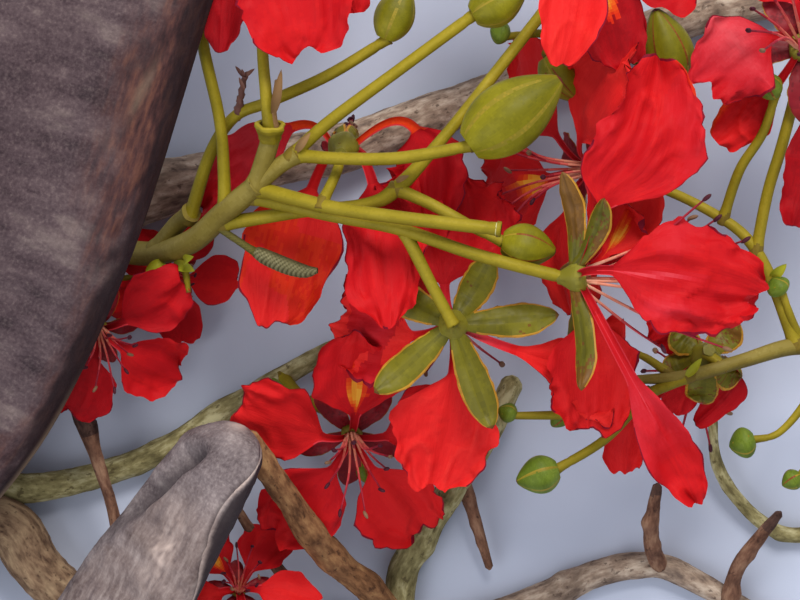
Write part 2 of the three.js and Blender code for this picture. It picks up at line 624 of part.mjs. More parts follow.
// A bloom by the general rule: five petals spread round the calyx, five sepals bent back
function plainBloom([foot, out, turn, size], grow) {
  const start = point(foot);
  const axis = point(out).normalize();
  const side = new THREE.Vector3(0, 1, 0).addScaledVector(axis, -axis.y).normalize();
  const other = new THREE.Vector3().crossVectors(axis, side);
  const mouth = start.clone().addScaledVector(axis, CALYX_DEEP * PETAL_LEVEL * size);
  const collar = start.clone().addScaledVector(axis, CALYX_DEEP * SEPAL_LEVEL * size);
  const spot = (angle, far, wide) => {
    const reached = start.clone().addScaledVector(axis, far * size);
    reached.addScaledVector(side, wide * size * Math.cos(angle));
    return reached.addScaledVector(other, wide * size * Math.sin(angle));
  };
  const bodies = [calyx(start, axis, size, grow)];
  bodies.push(...stamens(mouth, axis, size, PLAIN_STAMENS, grow));
  for (let k = 0; k < 5; k += 1) {
    mouth.addScaledVector(axis, WHORL_STEP * size);
    collar.addScaledVector(axis, WHORL_STEP * size);
    const angle = THREE.MathUtils.degToRad(turn + 72 * k);
    const via = spot(angle, 14, 18);
    const tip = spot(angle, 12 + 5 * Math.sin(3 * k + 1), 50);
    const shape = { foot: seat(mouth, axis, via, size), via, tip, face: axis };
    const broad = { ...shape, width: 36 * size, wave: 2.1 * k, rows: PLAIN_PETAL_ROWS };
    bodies.push(petal(broad, grow));
    const back = spot(angle + Math.PI / 5, 1, 25);
    bodies.push(sepal({ foot: seat(collar, axis, back, size), tip: back, out: axis, size }, grow));
  }
  return Manifold.union(bodies);
}

// A flat woody pod with a thick rim along both sutures
function pod({ line, roll, wide, blunt }, grow) {
  const rings = [];
  const last = line.length - 1;
  for (let i = 0; i <= POD_STEPS; i += 1) {
    const share = 0.5 - 0.5 * Math.cos((Math.PI * i) / POD_STEPS);
    const centre = point(along(line, share * last));
    const forward = slope(line, share * last);
    const across = new THREE.Vector3(-forward.y, forward.x, 0).normalize();
    const up = new THREE.Vector3().crossVectors(forward, across);
    if (up.z < 0) up.negate();
    const turned = THREE.MathUtils.degToRad(roll[0] + (roll[1] - roll[0]) * share);
    const wideAxis = across.clone().multiplyScalar(Math.cos(turned));
    wideAxis.addScaledVector(up, Math.sin(turned));
    const faceAxis = new THREE.Vector3().crossVectors(forward, wideAxis).normalize();
    const full = Math.min(1, (share + 0.05 * blunt) / blunt, (1.012 - share) / POD_TAPER);
    const half = (wide / 2) * Math.sin((Math.PI / 2) * full) ** 0.8 + grow;
    const deep = (POD_THICK / 2) * Math.sin((Math.PI / 2) * Math.min(1, full * 1.8)) ** 0.7 + grow;
    const ring = [];
    if (i === 0) centre.addScaledVector(forward, -grow);
    if (i === POD_STEPS) centre.addScaledVector(forward, grow);
    for (const [wideShare, deepShare] of POD_SECTION) {
      const corner = centre.clone().addScaledVector(wideAxis, wideShare * half);
      corner.addScaledVector(faceAxis, deepShare * deep);
      corner.z = Math.max(corner.z, FLOOR - grow);
      ring.push(corner);
    }
    rings.push(ring);
  }
  return solid(rings);
}

function raceme({ stems, buds }, grow) {
  const bodies = stems.map((stations) => stem(stations, PEDICEL_SIDES, grow));
  for (const shape of buds) bodies.push(bud(shape, SMALL_BUD_RINGS, PEDICEL_SIDES, grow));
  return Manifold.union(bodies);
}

// Every piece, in the order in which they are fitted: a later one gives way
const pieces = [];
for (const { names, splits = [], sides, stations } of LIMBS) {
  names.forEach((name, i) => {
    const from = i === 0 ? 0 : splits[i - 1];
    const to = i === names.length - 1 ? stations.length - 1 : splits[i];
    pieces.push({ name, finish: 'bark', make: (grow) => stem(stations, sides, grow, from, to) });
  });
}
for (const shape of RACEMES) {
  pieces.push({ name: shape.name, finish: 'stem', make: (grow) => raceme(shape, grow) });
}
for (const [name, shape] of Object.entries(PODS)) {
  pieces.push({ name, finish: 'pod', make: (grow) => pod(shape, grow) });
}
pieces.push({
  name: 'furled_leaf', finish: 'leaf', make: (grow) => stem(FURLED_LEAF, STALK_SIDES, grow),
});
for (const [name, shape] of Object.entries(BUDS)) {
  pieces.push({ name, finish: 'bud', make: (grow) => bud(shape, BUD_RINGS, TWIG_SIDES, grow) });
}
for (const [name, shape] of Object.entries(BLOOMS)) {
  pieces.push({ name, finish: 'petal', make: (grow) => bloom(shape, grow) });
}
for (const [name, shape] of Object.entries(PLAIN_BLOOMS)) {
  pieces.push({ name, finish: 'petal', make: (grow) => plainBloom(shape, grow) });
}

const near = (a, b) => [0, 1, 2].every((k) => a.min[k] < b.max[k] && b.min[k] < a.max[k]);

// The largest body of a cut piece: a loose scrap is dropped and a sealed hollow is filled
function whole(body) {
  const parts = body.asOriginal().simplify(SMOOTHING).decompose();
  return parts.sort((a, b) => b.volume() - a.volume())[0];
}

function meshOf(name, body, finish) {
  const { vertProperties, triVerts } = body.getMesh();
  const geometry = new THREE.BufferGeometry();
  geometry.setAttribute('position', new THREE.BufferAttribute(vertProperties, 3));
  geometry.setIndex(new THREE.BufferAttribute(triVerts, 1));
  geometry.computeVertexNormals();
  const mesh = new THREE.Mesh(geometry, new THREE.MeshStandardMaterial(FINISHES[finish]));
  mesh.name = name;
  return mesh;
}

const group = new THREE.Group();
const fitted = [];
for (const { name, finish, make } of pieces) {
  let body = make(0);
  for (const other of fitted) {
    if (near(body.boundingBox(), other.box)) body = body.subtract(other.room);
  }
  body = whole(body);
  const room = make(GAP);
  fitted.push({ room, box: room.boundingBox() });
  group.add(meshOf(name, body, finish));
}
group.position.set(-MIDDLE[0], -MIDDLE[1], 0);

export default group;
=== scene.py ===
import itertools
import math
from types import SimpleNamespace

import bpy
import numpy as np
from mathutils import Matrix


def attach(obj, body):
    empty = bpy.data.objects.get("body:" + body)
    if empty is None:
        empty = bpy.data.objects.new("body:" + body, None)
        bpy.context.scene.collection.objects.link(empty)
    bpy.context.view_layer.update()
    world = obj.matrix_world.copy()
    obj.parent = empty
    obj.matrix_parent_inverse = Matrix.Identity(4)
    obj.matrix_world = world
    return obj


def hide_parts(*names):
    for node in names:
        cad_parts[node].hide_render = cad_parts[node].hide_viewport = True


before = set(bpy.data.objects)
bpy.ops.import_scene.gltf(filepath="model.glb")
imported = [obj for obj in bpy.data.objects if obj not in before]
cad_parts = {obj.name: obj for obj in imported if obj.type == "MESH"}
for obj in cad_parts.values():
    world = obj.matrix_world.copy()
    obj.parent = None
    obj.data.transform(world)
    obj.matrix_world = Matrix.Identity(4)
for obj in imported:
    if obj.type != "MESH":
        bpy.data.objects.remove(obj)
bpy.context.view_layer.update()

# Sizes shared with the solids
MIDDLE = (-33.93, -27.28)         # middle of the branch's box, brought to the origin
CLAW_HALF = 1.3                   # half width of a petal's narrow foot
CLAW_END = 0.42                   # share of the petal at which the blade begins
TIP_CURVE = 0.92                  # 1 would close the blade to a point at its tip
LEVEL_AT = 0.75                   # share of a blade's length at which it lies level
STRAIGHT = 0.01                   # a spine that bends less than this counts as straight
PETAL_CUP = 0.14                  # rise of a blade's rims, as a share of its half width
PETAL_WAVE = 1.5                  # height of the waves in a blade's rim
SEPAL_HALF = 4.7
SEPAL_THICK = 1.1
SEPAL_BEND = 2.5                  # how far a sepal's middle bows out
SEPAL_CUP = 0.22
SEPAL_LEVEL = 0.45                # where the sepals stand, as a share of the calyx
PETAL_LEVEL = 0.8                 # where the petals stand
WHORL_STEP = 0.3                  # rise from one petal of a whorl to the next
CALYX_DEEP = 7                    # from the pedicel to the mouth of the calyx
CALYX_RING = 2.6                  # from the middle of the calyx to the feet of the petals
STAMEN_LONG = 42
BUD_FOOT = 0.12                   # how far the round of a bud has opened at its foot
BUD_ROUND = 0.86                  # how much of the round the rest of the bud takes
POD_THICK = 11                    # across the two faces of a pod
POD_TAPER = 0.3                   # share of the pod that narrows to its free tip

# Sizes of the fine meshes
BARK_SIDES, BARK_STEP = 32, 1.3   # faces round a limb, and its length between two rings
TWIG_SIDES, TWIG_STEP = 18, 1
STEM_SIDES, STEM_STEP = 22, 0.6
STEM_ROOT = 2.2                   # how far a stem's foot reaches into what it grows from
STEM_TIP = 0.8                    # and its end into what it bears
NEAR_PETAL = (54, 38)             # rows and columns of faces
FAR_PETAL = (34, 24)
PETAL_WIDEST = 0.7                # share of its length at which a petal is widest
SEPAL_GRID = (30, 16)
SEPAL_WIDEST = 0.62
STAMENS = 10
STAMEN_SIDES, STAMEN_STEP = 6, 48 / 14
STAMEN_HALF = 0.42
ANTHER_LONG = 3.2
ANTHER_HALF = 0.75
CALYX_SIDES = 24
POD_ROWS = 220
POD_NOSE = 14                     # length of the round end of the second pod
POD_SPAN = 9                      # faces between two corners of the pod's section
# LIT also paints light: stems and the leaf get lighter tones on the side that faces it
LIT = (-0.1, 0.4, 0.91)           # the way most light comes from

# Limbs: names of the solids, kinds of bark from a station on, and stations of
# x, y, z and radius
LIMBS = [
    (["main_bough", "lower_bough", "bottom_bough"], [(0, "sand"), (5.5, "grey")], [
        (-200, -36, 10.8, 12), (-178, -45, 10.8, 11.5), (-136, -60, 9.4, 10.4),
        (-115, -64, 7, 7.8), (-105, -76, 6.5, 7.2), (-92, -88, 6.1, 6.8),
        (-69, -103, 5.4, 6), (-35, -103, 4.7, 5.2), (0, -98, 4.1, 4.6), (40, -87, 3.5, 3.9),
        (58, -79, 3.3, 3.7), (75, -77, 3.1, 3.5), (94, -86, 2.8, 3.1), (116, -99, 2.3, 2.6),
    ]),
    (["upper_bough", "long_bough", "side_bough"], [(0, "sand"), (3, "grey")], [
        (-135, -61, 8.7, 9.6), (-120, -30, 8.4, 9.3), (-104, 3, 8.1, 9), (-83, 25, 7.4, 8.2),
        (-57, 35, 6.7, 7.4), (-20, 43, 6.1, 6.8), (15, 55, 5.8, 6.4), (58, 72, 5.4, 6),
        (92, 84, 4.9, 5.4), (120, 86, 4.3, 4.8), (139, 66, 4, 4.4), (144, 34, 3.6, 4),
        (139, 0, 3.2, 3.6), (134, -22, 2.9, 3.2),
    ]),
    (["middle_bough"], [(0, "lichen")], [
        (-124, -44, 8, 4.4), (-109, -54, 6, 4), (-74, -46, 5, 3.6), (-49, -31, 6, 3.2),
        (-18, -13, 9, 2.6),
    ]),
    (["pod_bough"], [(0, "sand")], [
        (-90, 22, 8, 4.6), (-87, 48, 6, 4.3), (-82, 84, 5, 4), (-74, 120, 12, 3.7),
        (-62, 150, 36, 3.4), (-54, 170, 62, 3), (-52, 176, 70, 2.6),
    ]),
    (["rear_bough"], [(0, "lichen")], [
        (0, -98, 4.1, 4.4), (1, -78, 5, 4.2), (12, -59, 8, 4), (23, -43, 11, 3.8),
        (33, -22, 14, 3.2),
    ]),
    (["pod_twig"], [(0, "tan")], [
        (-1, -92, 6, 3.6), (-8, -84, 13, 4.2), (-23, -68, 30, 4.1), (-34, -51, 47, 3.6),
        (-42, -36.5, 59, 2.4),
    ]),
    (["rear_twig"], [(0, "brown")], [
        (18, -51, 9, 2), (22, -64, 7, 1.7), (26, -78, 4, 1.1),
    ]),
    (["bent_twig"], [(0, "brown")], [
        (-14, -101, 5, 2.2), (-24, -90, 9, 2), (-31, -82, 12, 1.9), (-40, -70, 16, 1.6),
        (-47, -58, 20, 1.1),
    ]),
    (["dead_twig"], [(0, "brown"), (2.6, "dark")], [
        (-77, -99, 6, 2.2), (-81, -66, 15, 1.8), (-86, -46, 21, 1.7), (-89, -36, 23, 2.6),
        (-91, -31, 25, 2.2), (-94, -18, 28, 1),
    ]),
    (["tip_twig_1"], [(0, "brown"), (2.6, "dark")], [
        (75, -77, 4, 2.6), (72, -70, 13, 2.3), (72, -60, 21, 2), (73, -52, 26, 1.3),
    ]),
    (["tip_twig_2"], [(0, "brown"), (2.5, "dark")], [
        (95, -87, 4, 2.6), (97, -77, 12, 2.2), (103, -67, 20, 1.8), (108, -60, 25, 1.1),
    ]),
    (["side_twig", "side_twig_end"], [(0, "lichen")], [
        (138, -14, 4, 2.4), (139, -38, 3, 2.3), (130, -60, 2.6, 2.2), (116, -68, 2.4, 2.1),
        (103, -63, 3, 1.9), (92, -48, 6, 1.7), (90, -28, 9, 1.2),
    ]),
]

# Racemes: stems of x, y, z and radius, and small buds of foot, tip and radius
RACEMES = {
    "front_raceme": ([
        [(-92, 16, 9, 3.6), (-84, 15, 18, 3.5), (-70, 13, 34, 3.4), (-58, 16, 50, 3.3),
         (-48, 24, 62, 3.2), (-39, 31, 70, 3)],
        [(-39, 31, 70, 2.6), (-35, 43, 77, 2.6), (-35, 45.5, 78.2, 2.6)],
        [(-39, 31, 70, 2.4), (-33, 36, 74, 2.3), (-28, 39, 76, 2.2)],
        [(-68, 14, 36, 2.8), (-62, 21, 44, 2.6), (-58, 24, 51, 2.4)],
        [(-48, 24, 62, 1.9), (-48, 34, 65, 1.7), (-49, 49, 69, 1.6), (-53, 68, 74, 1.6),
         (-55, 84, 77, 1.5), (-52, 92, 79, 1.4)],
        [(-58, 23, 50, 1.9), (-52, 40, 60, 1.7), (-45, 50, 66, 1.6), (-35, 54, 70, 1.6),
         (-19, 61, 74, 1.6), (-4, 70, 76, 1.5)],
        [(-44, 51, 67, 1.5), (-43, 56, 71, 1.5), (-42, 60, 74, 1)],
        [(-35, 45, 79, 1.7), (-36, 56, 82, 1.6), (-37, 73, 78, 1.5), (-35, 104, 75, 1.5)],
        [(-33.5, 45, 79, 1.1), (-34, 51, 81.6, 0.9), (-33, 58, 85, 0.5)],
        [(-29, 39, 76, 1.8), (-19, 48, 78, 1.7), (0, 62, 80, 1.6), (19, 76, 80, 1.6)],
        [(-28, 39, 76, 1.8), (-16, 38, 80, 1.7), (0, 38, 84, 1.7), (18, 41, 86, 1.6)],
        [(-38, 30, 70, 2.1), (-19, 25, 80, 1.9), (0, 22, 86, 1.8), (25, 19, 88, 1.8)],
        [(-21, 26, 79, 1.5), (-17, 35, 73, 1.4), (-16, 41, 69, 1.5)],
        [(-48, 21, 60, 2), (-27, 24, 68, 1.7), (-9, 26, 72, 1.7), (-1, 30, 74, 2.1),
         (11, 43, 74, 1.6), (27, 63, 70, 1.6), (41, 81, 66, 1.6)],
        [(-1, 30, 74, 1.7), (8, 26, 76, 1.6), (19, 20, 77, 1.5), (27, 16, 78, 1.4)],
        [(-40, 28, 67, 2), (-19, 23, 74, 1.8), (0, 19, 80, 1.7), (21, 12, 82, 1.7),
         (44, 6, 82, 1.7)],
        [(1, 19, 79, 1.8), (8, 5, 80, 1.6), (14, -6, 79, 1.6)],
        [(-62, 14, 45, 1), (-60, 9, 44, 1.2), (-59, 3, 43, 0.6)],
    ], []),
    "side_raceme": ([
        [(135, -20, 5, 2.6), (130, -18, 22, 2.5), (122, -14, 36, 2.4), (109, -13, 44, 2.4),
         (94, -17, 50, 2), (79, -21, 52, 1.8), (63, -22, 52, 1.1)],
        [(80, -21, 52, 1.6), (68, -26, 52, 1.5), (56, -31, 52, 1.5), (30, -32, 52, 1)],
        [(68, -26, 52, 1.4), (57, -38, 54, 1.3), (44, -46, 56, 1.3)],
        [(74, -20, 51, 1.2), (68, -16, 51, 1.1), (63, -14, 51, 0.9)],
        [(110, -12, 44, 2), (103, 6, 46, 1.7), (98, 15, 46, 1.6), (92, 21, 45, 1.5),
         (80, 28, 43, 1.4), (66, 34, 41, 1.4), (58, 37, 40, 1.4)],
        [(99, 14, 46, 1.6), (102, 30, 48, 1.6), (106, 44, 50, 1.6), (112, 68, 52, 1.5)],
        [(90, 23, 45, 1.4), (94, 36, 50, 1.4), (100, 46, 54, 1.3), (103, 56, 58, 1.2)],
        [(122, -14, 36, 1.4), (114, -28, 38, 1.2), (106, -37, 40, 1), (99, -39, 40, 1)],
        [(116, -25, 38, 1.1), (118, -38, 38, 1), (112, -49, 38, 0.9)],
        [(112, -12, 43, 1.4), (109, -6, 46, 1.2), (106, 2, 48, 1)],
        [(89, -18, 51, 1.3), (85, -15, 50, 1.5)],
    ], [
        ((57, -30, 50), (51, -33, 47), 4.4), ((46, -31, 50), (42, -35, 48), 2.6),
        ((32, -32, 52), (27, -30, 52), 2.8), ((99, -39, 40), (92, -41, 40), 4.4),
        ((112, -49, 38), (107, -52, 38), 3), ((63.4, -22.3, 52.2), (60, -22, 51), 1.8),
        ((103, 56, 58), (99, 62, 62), 3.6), ((106, 2, 48), (103, 6, 50), 3.4),
    ]),
    "rear_raceme": ([
        [(60, 72, 8, 2.2), (60, 70, 24, 2), (54, 72, 36, 1.7), (46, 71, 45, 1.5),
         (41, 68, 50, 1.4)],
        [(60, 71, 22, 1.8), (70, 66, 36, 1.7), (77, 60, 50, 1.6)],
        [(50, 72, 40, 1.4), (40, 74, 46, 1.2), (30, 73, 50, 1)],
    ], [((30, 73, 50), (25, 75, 51), 3.2)]),
    "left_raceme": ([
        [(-104, 4, 9, 2.2), (-97, 2, 22, 1.9), (-90, -2, 31, 1.7), (-85, -6, 36, 1.6)],
        [(-95, 1, 25, 1.6), (-84, 4, 20, 1.5), (-73, 7, 15, 1.5), (-67, 8, 13, 1.5)],
    ], []),
    "middle_raceme": ([
        [(-34, -22, 8, 2), (-28, -28, 16, 1.7), (-20, -32, 24, 1.5), (-14, -36, 31, 1.5)],
        [(-26, -29, 18, 1.3), (-31, -31, 22, 1.1), (-34, -27, 26, 0.9)],
        [(-18, -33.6, 26, 1.2), (-12, -40, 27, 1), (-11, -46, 28, 0.8)],
    ], [((-34, -27, 26), (-36, -22, 28), 1.8), ((-11, -46, 28), (-9, -52, 29), 2.2)]),
    "low_stalk": ([
        [(-34, -102, 6, 1.8), (-43, -94, 14, 1.5), (-46, -84, 22, 1.4)],
    ], []),
}

# Large buds: foot, tip and widest radius
BUDS = {
    "bud_1": ((-4, 70.5, 76), (2, 85, 78), 5.4),
    "bud_2": ((19.5, 76.5, 80), (34, 84, 80), 6.2),
    "bud_3": ((18.5, 41.3, 86), (43, 59, 88), 9.4),
    "bud_4": ((27.5, 15.8, 78), (42, 13, 78), 6),
    "bud_5": ((77, 60.5, 51), (70, 80, 58), 6.8),
    "bud_6": ((40.5, 67.5, 50.5), (50, 55, 50), 6),
    "bud_7": ((43.5, -46.5, 56), (32, -50, 56), 5.3),
}

# Blooms whose petals show: foot and direction of the calyx, tips of the sepals, and for
# each petal the end of its claw, its tip, its width, its red and how crumpled it is. The red
# holds painted light: it is set lighter for petals that lie in shade and darker for one in full light
BLOOMS = {
    "bloom_front": ((14, -6, 78), (0.08, -0.16, -0.98),
        [(-7, -25, 73), (25, -35, 70), (43, -4, 73), (25, 12, 72), (-5, 4, 68)], [
        ((14, -24, 64), (9, -51, 52), 28, 6.9, 0.8), ((1, -10, 62), (-18, -7, 48), 27, 7.6, 0.9),
        ((36, -15, 67), (61, -20, 62), 34, 7, 0.8), ((12, 8, 64), (14, 36, 57), 44, 4.6, 1.5),
        ((6, 0, 54), (-12, 10, 34), 28, 7, 1.2)]),
    "bloom_side": ((43.5, 6, 82), (0.96, 0.02, 0.28),
        [(43, 34, 92), (54, 27, 98), (48, -24, 95), (44, 8, 60), (46, -14, 62)], [
        ((55, 27, 92), (67, 65, 93), 28, 5, 1.4), ((57, 15, 80), (66, 34, 75), 19, 7.5, 0.5),
        ((61, 7.5, 94), (96, 1.5, 88), 30, 4.8, 1.3), ((58, -14, 88), (80, -54, 72), 15, 5, 0.9),
        ((52, -8, 72), (52, -36, 62), 26, 6, 0.8)]),
    "bloom_back": ((-16, 40, 70), (0.1, 0.35, -0.93),
        [(-17, 50.5, 50), (-10, 49.5, 50), (-10.5, 45, 50), (-18.5, 46, 50), (-14, 43, 50)], [
        ((-31, 47, 57), (-55, 25, 44), 22, 8, 1.2), ((-24, 31, 58), (-35, -8, 50), 26, 7, 0.6),
        ((-7, 30, 68), (-3, -6, 74), 23, 5, 1.2), ((4, 47, 62), (8, 18, 57), 20, 4, 0.8),
        ((-14, 43, 54), (-14.5, 41, 27), 16, 5, 0.5)]),
    "bloom_top": ((-35, 103, 75), (0.1, 0.9, 0.42),
        [(-44, 92, 90), (-18, 96, 90), (-34, 122, 94), (-56, 112, 74), (-14, 116, 72)], [
        ((-30, 94, 92), (-25, 65, 89), 31, 5, 0.7), ((-44, 96, 84), (-48, 67, 81), 12, 3, 0.5),
        ((-22, 98, 86), (-12, 77, 89), 14, 5, 0.8), ((-48, 120, 78), (-62, 138, 64), 28, 4, 1),
        ((-24, 124, 78), (-12, 144, 64), 28, 5, 1)]),
    "bloom_upper": ((41, 81, 66), (0.35, 0.75, 0.55),
        [(30, 96, 74), (56, 92, 78), (62, 100, 62), (44, 108, 62), (38, 92, 46)], [
        ((47, 85, 81), (43, 63, 84), 18, 7, 0.5), ((54, 84, 72), (61, 63, 68), 20, 3, 0.7),
        ((52, 100, 72), (62, 118, 64), 30, 5, 1), ((36, 104, 70), (24, 122, 60), 30, 4, 1),
        ((62, 90, 62), (86, 96, 50), 28, 5, 1)]),
    "bloom_right": ((112, 68, 52), (-0.2, 0.3, 0.93),
        [(126, 60, 56), (122, 84, 56), (102, 86, 52), (92, 66, 50), (112, 48, 54)], [
        ((99, 71, 62), (84, 58, 60), 24, 5, 1), ((101, 56, 54), (88, 44, 52), 15, 6, 0.8),
        ((108, 84, 58), (97, 96, 52), 18, 5, 0.8), ((113, 48, 56), (108, 20, 52), 12, 3, 0.5),
        ((126, 72, 56), (142, 78, 44), 24, 5, 1)]),
    "bloom_right_low": ((85.3, -14.2, 50.4), (-0.1, -0.35, -0.93),
        [(76, -7, 46), (94, -6, 45), (95, -22, 44), (84, -29, 46), (73, -20, 45)], [
        ((79, -8, 41), (70, -12, 38), 13, 5, 0.7), ((81, -21, 42), (76, -32, 38), 11, 5, 0.7),
        ((94, -22, 41), (84, -34, 35), 9, 4, 0.7), ((90, -4, 38), (98, 6, 30), 16, 4, 0.8),
        ((67, -32, 42), (63, -48, 37), 14, 6, 0.5)]),
}

# Blooms by the general rule: foot, direction, turn of the petals in degrees, size and red
# (the red is set lighter for blooms that lie in shade, as painted light)
PLAIN_BLOOMS = {
    "bloom_far_right": ((57.5, 37, 40), (-0.88, -0.08, 0.46), 100, 0.86, 6),
    "bloom_far_left": ((-85, -6, 36), (0.25, -0.5, 0.83), 23, 0.56, 4),
    "bloom_left": ((-67, 8, 13), (0.3, -0.25, 0.92), 50, 0.4, 4),
    "bloom_middle": ((-14, -36, 31), (0.1, -0.45, 0.88), 0, 0.72, 5),
    "bloom_low_left": ((-46, -84, 22), (0.1, 0.5, 0.86), 40, 0.44, 5),
}

# Pods: middle line, roll at its two ends in degrees, width, and share of its blunt end
PODS = {
    "pod_1": ([(-51, 176, 72), (-62, 132, 86), (-77, 88, 91), (-97, 26, 85), (-117, -16, 68),
               (-135, -40, 54), (-162, -73, 36), (-190, -106, 18), (-213, -134, 1.3)],
              (-12, -8), 57, 0.16),
    "pod_2": ([(-42, -35, 59.5), (-50, -45, 61), (-64, -66, 58), (-85, -103, 45),
               (-101, -142, 31), (-112, -182, 17), (-118, -232, 1.3)],
              (60, 14), 46, 0.12),
}
POD_SECTION = [
    (1, 0), (0.92, 0.65), (0.7, 1), (0, 0.6), (-0.7, 1), (-0.92, 0.65),
    (-1, 0), (-0.92, -0.65), (-0.7, -1), (0, -0.6), (0.7, -1), (0.92, -0.65),
]

FURLED_LEAF = [
    (-50, 20, 60, 1), (-41, 14, 62, 1.1), (-38, 12.5, 63, 1.9), (-31, 9.5, 64, 2.1),
    (-26, 8, 65, 1.7), (-22.5, 8, 66, 0.8),
]


# Numbers and vectors
def unit(v):
    return v / np.linalg.norm(v, axis=-1, keepdims=True)


def smooth(x):
    x = np.clip(x, 0, 1)
    return x * x * (3 - 2 * x)


def noise(points, size, seed=0):
    """Smooth lumps of about that size, from -1 to 1."""
    p = np.asarray(points, float) / size + 19.7 * seed
    cell = np.floor(p).astype(np.int64)
    share = smooth(p - cell)
    total = np.zeros(p.shape[:-1])
    for corner in itertools.product((0, 1), repeat=3):
        c = (cell + corner).astype(np.uint32)
        key = c[..., 0] * 374761393 + c[..., 1] * 668265263 + c[..., 2] * 2246822519
        key = (key ^ (key >> 13)) * np.uint32(1274126177)
        value = (key ^ (key >> 16)) / 2**31 - 1
        weight = np.where(corner, share, 1 - share).prod(axis=-1)
        total += value * weight
    return total


def along(stations, t):
    """The smooth line through the stations at t, which counts them from 0."""
    rows = np.asarray(stations, float)
    t = np.asarray(t, float)
    i = np.clip(np.floor(t).astype(int), 0, len(rows) - 2)
    f = (t - i)[:, None]
    rows = np.vstack([2 * rows[0] - rows[1], rows, 2 * rows[-1] - rows[-2]])
    a, b, c, d = (rows[i + k] for k in range(4))
    bend = (2 * a - 5 * b + 4 * c - d) * f**2 + (3 * b - a - 3 * c + d) * f**3
    return 0.5 * (2 * b + (c - a) * f + bend)


def evenly(stations, step):
    """Station numbers at an even step along the line, and the way walked to each."""
    fine = np.linspace(0, len(stations) - 1, 40 * len(stations))
    points = along(stations, fine)[:, :3]
    walked = np.concatenate([[0], np.cumsum(np.linalg.norm(np.diff(points, axis=0), axis=1))])
    arc = np.linspace(0, walked[-1], max(4, round(walked[-1] / step)) + 1)
    return np.interp(arc, walked, fine), arc


def axes_along(points):
    """Side and other directions at each point of a line, with no twist."""
    side = np.empty_like(points)
    last = np.array([0.0, 0.0, 1.0])
    forward = unit(np.gradient(points, axis=0))
    for i, ahead in enumerate(forward):
        last = last - last.dot(ahead) * ahead
        if last.dot(last) < 0.01:
            last = np.array([1.0, 0.0, 0.0]) - ahead[0] * ahead
        last = unit(last)
        side[i] = last
    return side, np.cross(forward, side)


def rings(stations, step, sides):
    """The rows of a round line: way along, middle, radius, directions out and angles."""
    t, arc = evenly(stations, step)
    rows = along(stations, t)
    side, other = axes_along(rows[:, :3])
    angle = 2 * math.pi * np.arange(sides) / sides
    out = np.cos(angle)[:, None] * side[:, None] + np.sin(angle)[:, None] * other[:, None]
    return t, arc, rows[:, :3], rows[:, 3], out, angle


def unrolled(arc, radius, angle):
    """Places on a round line, laid straight, for its grain."""
    arc, radius = arc[:, None] + 0 * angle, radius[:, None]
    return np.stack([radius * np.cos(angle), radius * np.sin(angle), arc], axis=-1)


def in_frame(points):
    return (np.asarray(points, float) - [MIDDLE[0], MIDDLE[1], 0]) / 1000


class Heap:
    """Small bodies of one kind, gathered into one piece. A face has a number: its finish."""

    def __init__(self):
        self.points, self.grain = [], []
        self.faces = {3: [], 4: []}
        self.kinds = {3: [], 4: []}
        self.count = 0

    def add(self, points, faces, kinds, grain=None):
        faces = np.asarray(faces, int)
        sides = faces.shape[1]
        self.points.append(np.asarray(points, float).reshape(-1, 3))
        self.grain.append(self.points[-1] if grain is None else grain.reshape(-1, 3))
        self.faces[sides].append(faces + self.count)
        self.kinds[sides].append(np.broadcast_to(kinds, len(faces)).astype(int))
        self.count += len(self.points[-1])

    def sheet(self, points, kinds, grain=None, around=False):
        """A grid of points, rows by columns, that may close round its columns."""
        rows, columns = points.shape[:2]
        number = np.arange(rows * columns).reshape(rows, columns)
        if around:
            number = np.hstack([number, number[:, :1]])
        quads = [number[:-1, :-1], number[:-1, 1:], number[1:, 1:], number[1:, :-1]]
        faces = np.stack(quads, axis=-1).reshape(-1, 4)
        self.add(points, faces, np.broadcast_to(kinds, number[1:, 1:].shape).ravel(), grain)

    def cap(self, ring, kinds, flip=False):
        """A fan of faces over a ring, round its middle."""
        sides = len(ring)
        k = np.arange(sides)
        around = np.roll(k, 1 if flip else -1)
        faces = np.stack([k, around, np.full(sides, sides)], axis=1)
        self.add(np.vstack([ring, ring.mean(axis=0)]), faces, kinds)

    def make(self, name, finishes, slot, *nodes):
        mesh = bpy.data.meshes.new(name)
        faces = [np.concatenate(self.faces[k]) for k in (3, 4) if self.faces[k]]
        kinds = np.concatenate([np.concatenate(self.kinds[k]) for k in (3, 4) if self.kinds[k]])
        sides = np.concatenate([np.full(len(f), f.shape[1]) for f in faces])
        corners = np.concatenate([f.ravel() for f in faces])
        points = in_frame(np.concatenate(self.points))
        points[:, 2] = np.maximum(points[:, 2], 0)
        mesh.vertices.add(len(points))
        mesh.vertices.foreach_set("co", points.ravel())
        mesh.loops.add(len(corners))
        mesh.loops.foreach_set("vertex_index", corners)
        mesh.polygons.add(len(sides))
        mesh.polygons.foreach_set("loop_start", np.cumsum(sides) - sides)
        for made in finishes:
            mesh.materials.append(made)
        mesh.polygons.foreach_set("material_index", kinds)
        mesh.polygons.foreach_set("use_smooth", np.ones(len(sides), bool))
        grain = mesh.attributes.new("grain", "FLOAT_VECTOR", "POINT")
        grain.data.foreach_set("vector", np.concatenate(self.grain).ravel())
        mesh.update(calc_edges=True)
        mesh.validate()
        piece = bpy.data.objects.new(name, mesh)
        bpy.context.scene.collection.objects.link(piece)
        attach(piece, "root")
        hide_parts(*nodes)
        return piece


# Finishes
def screen(code):
    """The shares of a colour written as on a screen."""
    return np.array([int(code[k:k + 2], 16) / 255 for k in (0, 2, 4)])


def colour(shares):
    """Shares of a colour on a screen, in the renderer's own values."""
    if isinstance(shares, str):
        shares = screen(shares)
    return (*np.where(shares < 0.04045, shares / 12.92, ((shares + 0.055) / 1.055) ** 2.4), 1)


def node(tree, kind, values=(), **settings):
    made = tree.nodes.new(kind)
    for key, value in settings.items():
        setattr(made, key, value)
    for key, value in dict(values).items():
        made.inputs[key].default_value = value
    return made


